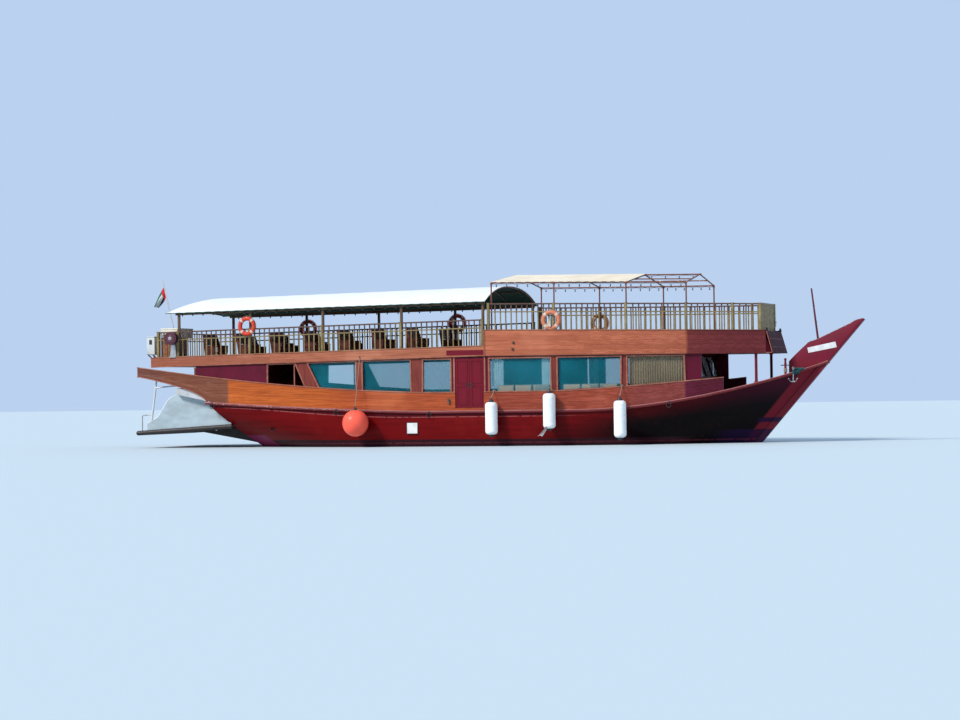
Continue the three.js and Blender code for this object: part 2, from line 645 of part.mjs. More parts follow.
// Pergola over the forward deck: a gabled frame of thin pipe
const pipe = 26;
const pergolaX = [1440, 3700, 6200, 8200];
const pergolaInset = railInset + 45 + pipe + 1;
const pergolaY = (x) => sheerBreadth(x) - pergolaInset;
const eaveZ = (x) => forwardDeckTop(x) + pergolaRise;
const ridgeZ = (x) => eaveZ(x) + ridgeRise;
const purlinZ = (x) => eaveZ(x) + ridgeRise / 2 - 20;
const pergola = [];
pergolaX.forEach((x, i) => {
  for (const [, side] of sides) {
    const y = side * pergolaY(x);
    pergola.push(bar([x, y, forwardDeckTop(x) + 0.8], [x, y, eaveZ(x) + 10], pipe, 6));
    pergola.push(bar([x, y, eaveZ(x)], [x, 0, ridgeZ(x)], pipe, 6));
    if (i > 0) {
      const back = pergolaX[i - 1];
      pergola.push(bar([back, side * pergolaY(back), eaveZ(back)], [x, y, eaveZ(x)], pipe, 6));
      pergola.push(bar([back, side * pergolaY(back) / 2, purlinZ(back)], [x, y / 2, purlinZ(x)], pipe * 0.8, 6));
    }
  }
  if (i > 0) pergola.push(bar([pergolaX[i - 1], 0, ridgeZ(pergolaX[i - 1])], [x, 0, ridgeZ(x)], pipe, 6));
});
addNode('pergola_frame', join(pergola), 0x7b4438, 0.5);

// Shade cloth laid over the starboard slope of the pergola, from its aft end to the third frame
const clothThickness = 6;
const clothLoops = pergolaX.slice(0, 3).map((x) => {
  const slope = ridgeRise / pergolaY(x);
  const rest = pipe * Math.hypot(1, slope) + seat;
  const outer = [-pergolaY(x) - pipe, eaveZ(x) - slope * pipe + rest];
  const inner = [-pipe, ridgeZ(x) - slope * pipe + rest];
  return [
    [x, ...outer], [x, ...inner], [x, inner[0], inner[1] + clothThickness], [x, outer[0], outer[1] + clothThickness],
  ];
});
addNode('shade_cloth', loft(clothLoops), 0xc9c4b4, 0.9);

// Flagstaff, bow pole and flag
const staffFoot = [aftDeckEnd - 90, 0, aftDeckTop(aftDeckEnd) + 30];
const staffTop = [-12560, 0, 6240];
const staff = join([
  bar(staffFoot, staffTop, 26, 8),
  box(aftDeckEnd - 130, aftDeckEnd - 50.6, -60, 60, aftDeckTop(aftDeckEnd) - 150, aftDeckTop(aftDeckEnd) + 80),
]);
addNode('flagstaff', staff, 0xe8e6e0, 0.4);
const flagOutline = [[-12490, 6000], [-12380, 5560], [-12720, 5190], [-12960, 5260]];
const staffSleeve = bar(staffFoot, staffTop, 26 + seat, 8);
addNode('flag', join([cut(plate(flagOutline, -12, 12), [staffSleeve])]), 0xb03030, 0.8);

const headTopLine = plate(backboneOutline.map(([x, z]) => [x, z + seat]), -keelHalfWidth, keelHalfWidth);
addNode('bow_pole', join([cut(bar([12360, 0, 3480], [12150, 0, 5290], 38, 8, 28), [headTopLine])]), 0x6b1c22, 0.5);

// Lifebuoys on the guard rails
function ring(centre, radius, tube, turn) {
  const geometry = new THREE.TorusGeometry(radius, tube, 8, 18);
  geometry.rotateX(Math.PI / 2);
  geometry.rotateZ(turn);
  geometry.translate(...centre);
  return toSolid(geometry);
}
const buoyRadius = 275;
const buoyTube = 75;
const lifebuoys = [
  ['aft_starboard', -7870, -1, aftDeckTop, 0xc8452e],
  ['fore_starboard', 3640, -1, forwardDeckTop, 0xd0603c],
  ['aft_port', -7870, 1, aftDeckTop, 0xc8452e],
  ['middle_port', -1930, 1, aftDeckTop, 0xc8452e],
  ['fore_port', 3640, 1, forwardDeckTop, 0xd0603c],
];
for (const [name, x, side, deckTop, colour] of lifebuoys) {
  const onAftDeck = deckTop === aftDeckTop;
  const z = deckTop(x) + (onAftDeck ? 1050 : 375);
  const posts = onAftDeck ? aftRailPosts : foreRailPosts;
  const postX = posts.reduce((best, at) => (Math.abs(at - x) < Math.abs(best - x) ? at : best));
  const slope = (sheerBreadth(x + 200) - sheerBreadth(x - 200)) / 400;
  const postFace = sheerBreadth(postX) - railInset + railPostSize / 2;
  const nearest = Math.min(...[-1, 1].map((end) => slope * (postX + end * railPostSize / 2 - x)));
  const y = postFace + buoyTube + 2 * seat - nearest;
  addNode(`lifebuoy_${name}`, ring([x, side * y, z], buoyRadius, buoyTube, side * Math.atan(slope)), colour, 0.6);
}

// Fenders and the round buoy along the side
function fender(x, y, z0, z1, radius) {
  const neck = 90;
  const profile = [
    [0, z0], [neck, z0], [neck, z0 + 60], [radius * 0.8, z0 + 110], [radius, z0 + 220],
    [radius, z1 - 220], [radius * 0.8, z1 - 110], [neck, z1 - 60], [neck, z1], [0, z1],
  ].map(([r, z]) => new THREE.Vector2(r, z));
  const geometry = new THREE.LatheGeometry(profile, fenderSides);
  geometry.rotateX(Math.PI / 2);
  geometry.translate(x, y, 0);
  return toSolid(geometry);
}
const fenderRadius = 225;
const fenderSides = 14;
const fenderRows = [[1540, 330, 1620], [3620, 520, 1900], [6060, 180, 1620]];
fenderRows.forEach(([x, z0, z1], i) => {
  const y = -leaningOut(x, fenderRadius, fenderSides);
  addNode(`fender_${i + 1}`, fender(x, y, z0, z1, fenderRadius), 0xe6e4e0, 0.5);
});
const roundBuoyX = -3480;
const roundBuoyStandOff = 447;   // its middle bears on the planking under the rub rail
const roundBuoy = new THREE.SphereGeometry(480, 16, 10);
roundBuoy.scale(0.97, 0.97, 1);
roundBuoy.translate(roundBuoyX, -(sheerBreadth(roundBuoyX) + roundBuoyStandOff), 860);
addNode('round_buoy', toSolid(roundBuoy), 0xe2442c, 0.35);

// Swim platform with its side plates and brackets
const platformHalf = 2350;
const platformAft = [-12500, 575];
const platformFore = [-8600, 800];
const platformPlate = plate([
  [platformAft[0], platformAft[1] - 60], [platformFore[0] + 700, platformFore[1] - 40],
  [platformFore[0] + 700, platformFore[1] + 60], [platformAft[0], platformAft[1] + 20],
], -platformHalf, platformHalf);
const edgeTube = join(sides.map(([, side]) => bar(
  [platformAft[0], side * platformHalf, platformAft[1] - 20],
  [platformFore[0] + 350, side * platformHalf, platformFore[1] + 5],
  85,
  8,
)));
const aftTube = bar([platformAft[0], -platformHalf, platformAft[1] - 20], [platformAft[0], platformHalf, platformAft[1] - 20], 85, 8);
const sidePlateOutline = [
  [-12150, 560], [-12150, 900], [-11740, 1120], [-11600, 1290], [-11490, 1470], [-11380, 1640],
  [-11270, 1770], [-11100, 1880], [-10910, 1940], [-10650, 1895], [-10400, 1850], [-9760, 1650], [-9300, 1560],
  [-8000, 600],
];
const sidePlates = sides.map(([, side]) => (
  plate(sidePlateOutline, side > 0 ? platformHalf - 90 : -platformHalf + 30, side > 0 ? platformHalf - 30 : -platformHalf + 90)
));
const bracketOutline = [[-10800, 640], [-7600, 800], [-7600, 0], [-8000, 150]];
const brackets = [-1100, 1100].map((y) => plate(bracketOutline, y - 50, y + 50));
const transomRun = [transomFoot[0] - transomTop[0], transomFoot[1] - transomTop[1]];
const onTransom = (t) => [transomTop[0] + t * transomRun[0] - 3 * seat, transomTop[1] + t * transomRun[1]];
const aheadOfTransom = plate([onTransom(-0.4), onTransom(1.4), [0, onTransom(1.4)[1]], [0, onTransom(-0.4)[1]]], -4000, 4000);
const swimPlatform = cut(join([platformPlate, edgeTube, aftTube, ...sidePlates, ...brackets]), [aheadOfTransom]);
addNode('swim_platform', swimPlatform, 0xb9c1c4, 0.4);

// Floor box of the stern gallery between the quarter wings
const galleryHalf = (x) => bandInner(x) - 2 * seat;
const gallery = cut(slab(
  [-10880, -10600, -10200, -9800, -9500, -9310],
  galleryHalf,
  (x) => along(x, -10880, 1960, -9500, 1690),
  (x) => along(x, -10880, 2180, -9500, 2060),
), [loft(hullLoops(2 * seat))]);
addNode('stern_gallery', gallery, 0xc9d4da, 0.5);

// Stern lockers on the aft deck and the cabinet hung outside
const lockerAft = -11540;
const lockerFore = -11130;
addNode('stern_locker', plate([
  [lockerAft, aftDeckTop(lockerAft) + seat], [lockerFore, aftDeckTop(lockerFore) + seat], [lockerFore, 4000],
  [-10880, 4060], [-10880, 4380], [lockerAft, 4380],
], -2330, -1000), 0x9a5a44, 0.6);
const cabinet = plate([
  [aftDeckEnd - 50.6, 3200], [aftDeckEnd - 50.6, 4090], [-12160, 4090], [-12160, 3420], [aftDeckEnd - 130, 3420],
  [aftDeckEnd - 130, 3200],
], -2250, -1750);
addNode('stern_cabinet', cabinet, 0xe3e6e2, 0.5);

// Hose reel: a drum on a fixed axle that stands out from an upright on the deck's edge
const reelX = -10930;
const reelZ = 4000;
const reelStandFoot = aftDeckTop(reelX + 120) + 20 + seat;
const uprightY = -(sheerBreadth(reelX) - 50);
const uprightThickness = 45;
const drumY = uprightY - uprightThickness - 12;
const drumWidth = 250;
const axleRadius = 30;
function disc(y0, y1, radius, sides_ = pinSides) {
  return bar([reelX, y0, reelZ], [reelX, y1, reelZ], radius, sides_);
}
const uprightOutline = [
  [reelX - 120, reelStandFoot], [reelX + 120, reelStandFoot], [reelX + 60, reelZ - 100], [reelX + 60, reelZ + 60],
  [reelX - 60, reelZ + 60], [reelX - 60, reelZ - 100],
];
const drumEnd = drumY - drumWidth;
addNode('hose_reel_stand', join([
  plate(uprightOutline, uprightY - uprightThickness, uprightY),
  box(reelX - 120, reelX + 120, uprightY - 90, uprightY, reelStandFoot, reelStandFoot + 25),
  disc(uprightY - 10, drumEnd - 12, axleRadius),
  disc(drumEnd - seat, drumEnd - 14, axleRadius + 14),
]), 0x6f7274, 0.5, 0.4);
addNode('hose_reel_drum', cut(join([
  disc(drumY, drumY - 20, 240),
  disc(drumY - 10, drumEnd + 10, 170),
  disc(drumEnd + 20, drumEnd, 240),
]), [disc(drumY + 50, drumEnd - 50, boreFor(axleRadius))]), 0x6e3a4c, 0.6);

// Seats and fittings
function bench(x0, x1, y0, y1, floor, backAt) {
  const seatTop = floor + 430;
  const backY = backAt === 'middle' ? [(y0 + y1) / 2 - 40, (y0 + y1) / 2 + 40] : backAt;
  return join([
    box(x0, x1, y0, y1, floor, seatTop),
    box(x0, x1, backY[0], backY[1], floor + 10, floor + 850),
  ]);
}
addNode('saloon_settee', bench(-2300, 5600, -500, 500, floorHeight + seat, 'middle'), 0x8c7a66, 0.8);

// Helm: a console behind the windscreen, with the wheel on a spindle that runs in its after face
const helmX = 7350;
const helmZ = floorHeight + 950;
const spindleRadius = 20;
const console_ = plate([
  [helmX, floorHeight + seat], [helmX + 350, floorHeight + seat], [helmX + 350, floorHeight + 1120],
  [helmX + 80, floorHeight + 1120], [helmX, floorHeight + 1050],
], -400, 400);
addNode('helm_console', cut(console_, [
  bar([helmX - 10, 0, helmZ], [helmX + 120, 0, helmZ], boreFor(spindleRadius), pinSides),
]), 0x8a4a28, 0.4);
const wheelX = helmX - 90;
const wheelRadius = 330;
const rim = new THREE.TorusGeometry(wheelRadius, 17, 6, 24);
rim.rotateY(Math.PI / 2);
rim.translate(wheelX, 0, helmZ);
const spokes = Array.from({ length: 6 }, (_, i) => {
  const angle = i * Math.PI / 3 + Math.PI / 6;
  const [c, d] = [Math.cos(angle), Math.sin(angle)];
  return bar([wheelX, 30 * c, helmZ + 30 * d], [wheelX, (wheelRadius + 90) * c, helmZ + (wheelRadius + 90) * d], 13, 6);
});
addNode('helm_wheel', join([
  toSolid(rim),
  ...spokes,
  bar([wheelX - 30, 0, helmZ], [wheelX + 30, 0, helmZ], 60, 16),
  bar([wheelX, 0, helmZ], [helmX + 119, 0, helmZ], spindleRadius, pinSides),
]), 0x7a4222, 0.4);
const seatRuns = spaced(-9800, -600, 7).slice(0, -1).flatMap((x) => sides.map(([, side]) => {
  const edge = side * 1150;
  const [y0, y1] = [edge, side * 2350].sort((a, b) => a - b);
  return join([
    box(x, x + 420, y0, y1, aftDeckTop(x) + 350, aftDeckTop(x) + 430),
    box(x - 60, x + 10, y0, y1, aftDeckTop(x) + 340, aftDeckTop(x) + 820),
    box(x + 20, x + 90, y0 + 80, y1 - 80, aftDeckTop(x) + 12, aftDeckTop(x) + 360),
  ]);
}));
const seatSoles = sides.map(([, side]) => strip(
  [-9900, 0],
  () => 1650,
  () => 1750,
  (x) => aftDeckTop(x) + seat,
  (x) => aftDeckTop(x) + 40,
  side,
));
const seatBearer = slab([-9900, -9800], () => 1700, (x) => aftDeckTop(x) + seat, (x) => aftDeckTop(x) + 30);
addNode('aft_deck_seats', join([...seatRuns, ...seatSoles, seatBearer]), 0x5d2a26, 0.7);

// Bitts and post on the foredeck cap
for (const [name, side] of sides) {
  const x = 11340;
  const y = side * (sheerBreadth(x) - 110);
  const bitt = bar([x, y, sheerHeight(x) - 30], [x, y, sheerHeight(x) + 550], 42, 8);
  addNode(`bow_bitt_${name}`, join([cut(bitt, [hullEnvelope])]), 0x8a2024, 0.5);
}
const grapnelX = 11620;
const shankRadius = 22;
const grapnelY = -leaningOut(grapnelX, shankRadius, 12);
addNode('grapnel', join([
  bar([grapnelX, grapnelY, 2560], [grapnelX, grapnelY, 2080], shankRadius, 12),
  bar([grapnelX, grapnelY, 2090], [grapnelX - 150, grapnelY - 60, 2160], 18, 6),
  bar([grapnelX, grapnelY, 2090], [grapnelX + 150, grapnelY - 60, 2160], 18, 6),
]), 0xb8bdb8, 0.5);

// Hatch board over the engine room, level with the saloon floor's top
addNode('engine_hatch', box(
  engineRoom.x0 - 60, engineRoom.x1 + 60, -engineRoom.half - 60, engineRoom.half + 60, floorHeight + seat, floorHeight + 40,
), 0x7d5236, 0.6);

// Engine block, propeller with its shaft, and rudder
addNode('engine', box(-4500, -3100, -450, 450, engineRoom.z0 + seat, engineRoom.z0 + 1150), 0x5f6a6c, 0.5, 0.3);

const propellerX = -6050;
const bladeRadius = 400;
const blades = Array.from({ length: 4 }, (_, i) => {
  const angle = i * Math.PI / 2 + Math.PI / 4;
  const geometry = new THREE.BoxGeometry(28, 240, bladeRadius - 40);
  geometry.rotateZ(0.6);
  geometry.translate(0, 0, (bladeRadius + 40) / 2);
  geometry.rotateX(angle);
  geometry.translate(propellerX, 0, shaftHeight);
  return toSolid(geometry);
});
addNode('propeller', join([
  bar([propellerX - 110, 0, shaftHeight], [propellerX + 110, 0, shaftHeight], 85, 14),
  bar([propellerX, 0, shaftHeight], [sternpostX + 700, 0, shaftHeight], shaftRadius, pinSides),
  ...blades,
]), 0xb08d4a, 0.35, 0.8);

const rudderOutline = [
  [rudderX + 60, -1690], [rudderX + 60, -880], [rudderX - 120, -860], [rudderX - 620, -1000], [rudderX - 660, -1660],
];
addNode('rudder', join([
  plate(rudderOutline, -40, 40),
  bar([rudderX, 0, -1000], [rudderX, 0, -300], stockRadius, pinSides),
  bar([rudderX, 0, keelUnderside + 41], [rudderX, 0, -1500], heelPinRadius, pinSides),
]), 0x5b1a2a, 0.6);

export default part;
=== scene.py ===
# %% [markdown]
# A two-deck wooden dhow, dressed in Blender around its fixed frame. The frame holds every solid at its real
# size: X runs forward, Y to port and Z up, in metres, from the waterline amidships. The lesson never moves
# those solids. It gives them a finish, or builds a finer piece where the boat shows planks, cloth, rope or
# pickets.

from math import atan, ceil, cos, floor, pi, radians, sin
from random import Random

import bmesh
import bpy
from mathutils import Matrix, Vector
from mathutils.bvhtree import BVHTree


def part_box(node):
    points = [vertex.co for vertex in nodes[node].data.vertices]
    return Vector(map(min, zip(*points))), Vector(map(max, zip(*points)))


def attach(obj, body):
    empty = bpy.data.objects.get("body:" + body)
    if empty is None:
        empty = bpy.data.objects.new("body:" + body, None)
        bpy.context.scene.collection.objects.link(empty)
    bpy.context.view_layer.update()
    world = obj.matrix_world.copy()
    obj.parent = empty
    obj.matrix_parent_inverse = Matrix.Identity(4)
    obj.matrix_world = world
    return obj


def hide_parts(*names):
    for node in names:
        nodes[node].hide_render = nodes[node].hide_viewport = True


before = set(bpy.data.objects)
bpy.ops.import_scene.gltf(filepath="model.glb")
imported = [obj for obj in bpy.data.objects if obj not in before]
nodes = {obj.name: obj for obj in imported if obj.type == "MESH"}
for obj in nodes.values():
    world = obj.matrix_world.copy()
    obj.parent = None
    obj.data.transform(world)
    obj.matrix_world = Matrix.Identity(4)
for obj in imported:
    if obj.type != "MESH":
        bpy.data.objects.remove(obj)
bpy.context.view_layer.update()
scene = bpy.context.scene

# %% [markdown]
# The camera stands where the photographer stood: low over the water, far off the starboard side. The
# horizon gives the height of the eye, near and far posts give the angle, and the picture leans by less than
# a degree.

# %% Camera
PICTURE_WIDTH = 960.0            # pixels of the photograph
FOCAL_PIXELS = 2650.0
SENSOR = 36.0
VIEW_ANGLE = radians(19.0)       # from straight abeam, towards the bow
DISTANCE = 95.5
EYE_HEIGHT = 2.0
HORIZON_BELOW_MIDDLE = 28.9      # pixels
ROLL = 0.0145                    # radians


def new_object(name, data):
    """An object in the scene around its data."""
    made = bpy.data.objects.new(name, data)
    scene.collection.objects.link(made)
    return made


def aim_camera():
    lens = bpy.data.cameras.new("camera")
    lens.sensor_width = SENSOR
    lens.lens = FOCAL_PIXELS / PICTURE_WIDTH * SENSOR
    lens.clip_end = 1000.0
    place = Vector((DISTANCE * sin(VIEW_ANGLE), -DISTANCE * cos(VIEW_ANGLE), EYE_HEIGHT))
    ahead = Vector((-sin(VIEW_ANGLE), cos(VIEW_ANGLE), HORIZON_BELOW_MIDDLE / FOCAL_PIXELS))
    turned = ahead.to_track_quat("-Z", "Y").to_matrix().to_4x4()
    camera = new_object("camera", lens)
    camera.matrix_world = Matrix.Translation(place) @ turned @ Matrix.Rotation(-ROLL, 4, "Z")
    scene.camera = camera
    return camera


camera = aim_camera()
print("camera:", [round(v, 2) for v in camera.location], "lens", round(camera.data.lens, 1))

# %% [markdown]
# The stage is a pale floor at the waterline, which hides the hull below it as water does. Hazy daylight is
# one wide sun and an even sky.

# %% Floor and light
FLOOR_SIZE = 400.0
SKY = (0.55, 0.71, 0.96, 1.0)
FLOOR_TONE = (0.52, 0.6, 0.63)
SUN_FROM = Vector((-22.0, -30.0, 30.0))


def lay_floor():
    half = FLOOR_SIZE / 2
    mesh = bpy.data.meshes.new("floor")
    mesh.from_pydata([(-half, -half, 0), (half, -half, 0), (half, half, 0), (-half, half, 0)], [],
                     [(0, 1, 2, 3)])
    tone = bpy.data.materials.new("floor")
    tone.use_nodes = True
    shader = tone.node_tree.nodes["Principled BSDF"]
    shader.inputs["Base Color"].default_value = (*FLOOR_TONE, 1.0)
    shader.inputs["Roughness"].default_value = 0.9
    mesh.materials.append(tone)
    new_object("floor", mesh)


def light_stage():
    sun = bpy.data.lights.new("sun", "SUN")
    sun.energy = 3.3
    sun.angle = radians(12.0)
    sun.color = (1.0, 0.96, 0.9)
    new_object("sun", sun).matrix_world = (-SUN_FROM).to_track_quat("-Z", "Y").to_matrix().to_4x4()
    world = bpy.data.worlds.new("sky")
    world.use_nodes = True
    world.node_tree.nodes["Background"].inputs["Color"].default_value = SKY
    world.node_tree.nodes["Background"].inputs["Strength"].default_value = 0.9
    scene.world = world
    scene.view_settings.view_transform = "Standard"


lay_floor()
light_stage()
print("stage: floor at the waterline, sun and sky")

# %% [markdown]
# Shaders are sums and products of a few patterns. One small class wraps a socket and turns `a * b + 1` into
# nodes, so they read like sums.

# %% Sockets that can be added and multiplied
def both_ways(operation):
    """A Python operator and its reflected form."""
    return (lambda self, other: self.sum_with(operation, self, other),
            lambda self, other: self.sum_with(operation, other, self))


class Wire:
    """An output socket of a material, with Python's operators."""

    def __init__(self, finish, socket):
        self.finish = finish
        self.socket = socket

    def sum_with(self, operation, first, second):
        """One node for a sum or product: Math on numbers, Vector Math on vectors, Mix on colours."""
        kinds = [w.socket.type for w in (first, second) if isinstance(w, Wire)]
        if all(kind == "VALUE" for kind in kinds):
            return self.finish.node("Math", {"operation": operation}, first, second)
        if "RGBA" in kinds:
            settings = {"data_type": "RGBA", "blend_type": operation, "clamp_factor": True}
            return self.finish.node("Mix", settings, Factor=1.0, A=first, B=second)
        return self.finish.node("VectorMath", {"operation": operation}, first, second)

    __add__, __radd__ = both_ways("ADD")
    __sub__, __rsub__ = both_ways("SUBTRACT")
    __mul__, __rmul__ = both_ways("MULTIPLY")
    __truediv__, __rtruediv__ = both_ways("DIVIDE")
    __pow__, __rpow__ = both_ways("POWER")


class Finish:
    """A material, and the one method that adds its nodes."""

    def __init__(self, name, colour, roughness=0.5, metallic=0.0, alpha=1.0, coat=0.0, shine=0.15):
        self.material = bpy.data.materials.new(name)
        self.material.use_nodes = True
        self.tree = self.material.node_tree
        self.shader = self.tree.nodes["Principled BSDF"]
        self.set("Base Color", colour)
        self.set("Roughness", roughness)
        self.set("Metallic", metallic)
        self.set("Alpha", alpha)
        self.set("Coat Weight", coat)
        self.set("Specular IOR Level", shine)

    def join(self, socket, value):
        """Links a wire to a socket, or sets a plain value on it."""
        if isinstance(value, Wire):
            self.tree.links.new(value.socket, socket)
        elif hasattr(value, "__len__") and len(value) == 3 and socket.type == "RGBA":
            socket.default_value = (*value, 1.0)
        elif hasattr(value, "__len__") or socket.type not in ("RGBA", "VECTOR"):
            socket.default_value = value
        else:
            socket.default_value = [value] * len(socket.default_value)

    def set(self, name, value):
        self.join(self.shader.inputs[name], value)

    def node(self, kind, settings=None, *values, output=0, **named):
        """Adds a node: its settings first, then its sockets by order or by name."""
        made = self.tree.nodes.new("ShaderNode" + kind)
        for key, value in (settings or {}).items():
            if key == "stops":
                self.set_stops(made.color_ramp, value)
            else:
                setattr(made, key, value)
        usable = [s for s in made.inputs if s.enabled]
        for socket, value in zip(usable, values):
            self.join(socket, value)
        for key, value in named.items():
            self.join(next(s for s in usable if s.name == key.replace("_", " ")), value)
        outs = [s for s in made.outputs if s.enabled]
        chosen = outs[output] if isinstance(output, int) else next(s for s in outs if s.name == output)
        return Wire(self, chosen)

    @staticmethod
    def set_stops(ramp, stops):
        while len(ramp.elements) < len(stops):
            ramp.elements.new(1.0)
        for element, (position, colour) in zip(ramp.elements, stops):
            element.position = position
            element.color = (*colour, 1.0)

    def place(self):
        """The point on the piece at rest, in metres, in the boat's own frame."""
        return self.node("TexCoord", None, output="Object")

    def axes(self, vector):
        """The three numbers of a vector."""
        return [self.node("SeparateXYZ", None, vector, output=i) for i in range(3)]

    def stretched(self, vector, scale):
        return self.node("VectorMath", {"operation": "MULTIPLY"}, vector, scale)

    def noise(self, vector, scale=1.0, detail=3.0, roughness=0.55):
        return self.node("TexNoise", {"noise_dimensions": "3D"}, Vector=vector, Scale=scale, Detail=detail,
                         Roughness=roughness)

    def rise(self, value, low, high, to_low=0.0, to_high=1.0):
        """A smooth step from one value to another as a number goes from low to high."""
        return self.node("MapRange", {"interpolation_type": "SMOOTHSTEP"}, value, low, high, to_low, to_high)

    def blend(self, factor, first, second):
        """The first colour where the factor is 0, the second where it is 1."""
        return self.node("Mix", {"data_type": "RGBA"}, Factor=factor, A=first, B=second)

    def cover(self, tone, layer, value, low, high, most=1.0):
        """A layer of colour over a tone, where a value has risen from low to high."""
        return self.blend(self.rise(value, low, high, 0.0, most), tone, layer)

    def worn(self, tone, gloss, height, distance, strength=0.6):
        """Sets what varies over a surface: colour, roughness, and a height through one Bump node."""
        self.set("Base Color", tone)
        self.set("Roughness", gloss)
        self.set("Normal", self.node("Bump", None, Height=height, Distance=distance, Strength=strength))
        return self


def shade(colour, factor):
    """A colour made darker or lighter in Python."""
    return tuple(min(1.0, c * factor) for c in colour)


print("shader words ready")

# %% [markdown]
# Boats are drawn from a few curves along their length. Every long piece follows them, so they are functions
# of x, the same as in the solids, and a finer piece fits its solid to the millimetre.

# %% Curves of the boat
TRANSOM_TOP = -9.58
STEM_AT_WATER = 10.33
STEM_RAKE = 0.872
STEM_SIDING = 0.3
SHEER_FRONT = STEM_AT_WATER + STEM_RAKE * 2.79 - STEM_SIDING
KEEL_HALF = 0.13
HULL_BOTTOM = -1.5
DECK_STEP = 1.2
AFT_DECK_END = -11.8
FORWARD_DECK_END = 10.75
FLOOR = 1.15
HELM_FLOOR = 1.45
BULWARK = 0.08


def clamp(value, low=0.0, high=1.0):
    return min(high, max(low, value))


def mix(a, b, t):
    return a + (b - a) * t


def sheer_height(x):
    return 1.25 + 0.42 * clamp((-0.8 - x) / 8.8, 0, 9) ** 1.4 + 1.59 * clamp((x - 4.5) / 8.3, 0, 9) ** 1.9


def sheer_breadth(x):
    drawn_in = 0.61 * clamp((-1.0 - x) / 11.6, 0, 9) ** 1.9 + 3.06 * clamp((x - 0.5) / 12.1) ** 2.7
    return max(KEEL_HALF, 3.06 - drawn_in)


def sill_height(x):
    return 1.88 + 1.07 * clamp((-0.5 - x) / 12.0, 0, 9) ** 1.6 + 0.32 * clamp((x - 3.8) / 4.9, 0, 9) ** 1.3


def wing_underside(x):
    return sheer_height(TRANSOM_TOP) + 0.95 * clamp((TRANSOM_TOP - x) / 2.8) ** 0.56


def band_foot(x):
    return sheer_height(x) if x > TRANSOM_TOP else wing_underside(x)


def between_points(x, points):
    """A line drawn through points, as tables of heights are in a builder's book."""
    for (x0, z0), (x1, z1) in zip(points, points[1:]):
        if x <= x1 or (x1, z1) == points[-1]:
            return mix(z0, z1, (x - x0) / (x1 - x0))


def soffit(x):
    return between_points(x, [(AFT_DECK_END, 2.97), (DECK_STEP, 3.16), (FORWARD_DECK_END, 3.11)])


def aft_deck(x):
    return soffit(x) + 0.3


def forward_deck(x):
    return mix(4.01, 3.84, (x - DECK_STEP) / (FORWARD_DECK_END - DECK_STEP))


def stem_front(z):
    return STEM_AT_WATER + STEM_RAKE * z


def steps(start, stop, pitch):
    """Even places from start to stop, about a pitch apart."""
    count = max(1, round(abs(stop - start) / pitch))
    return [mix(start, stop, i / count) for i in range(count + 1)]


def above(height):
    return Vector((0, 0, height))


def corners_of(node):
    """The low and the high corner of a solid's box."""
    return [Vector(corner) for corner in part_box(node)]


def length_of(line):
    return sum((b - a).length for a, b in zip(line, line[1:]))


SIDES = {"starboard": -1, "port": 1}
UP = (0, 0, 1)
print("sheer amidships", round(sheer_height(0), 2), "m, half breadth", round(sheer_breadth(0), 2), "m")

# %% [markdown]
# A boat has thousands of sticks, pipes and rings. A heap gathers many shapes into one mesh. Each face
# remembers its finish and a number from 0 to 1, which gives each board its own shade.

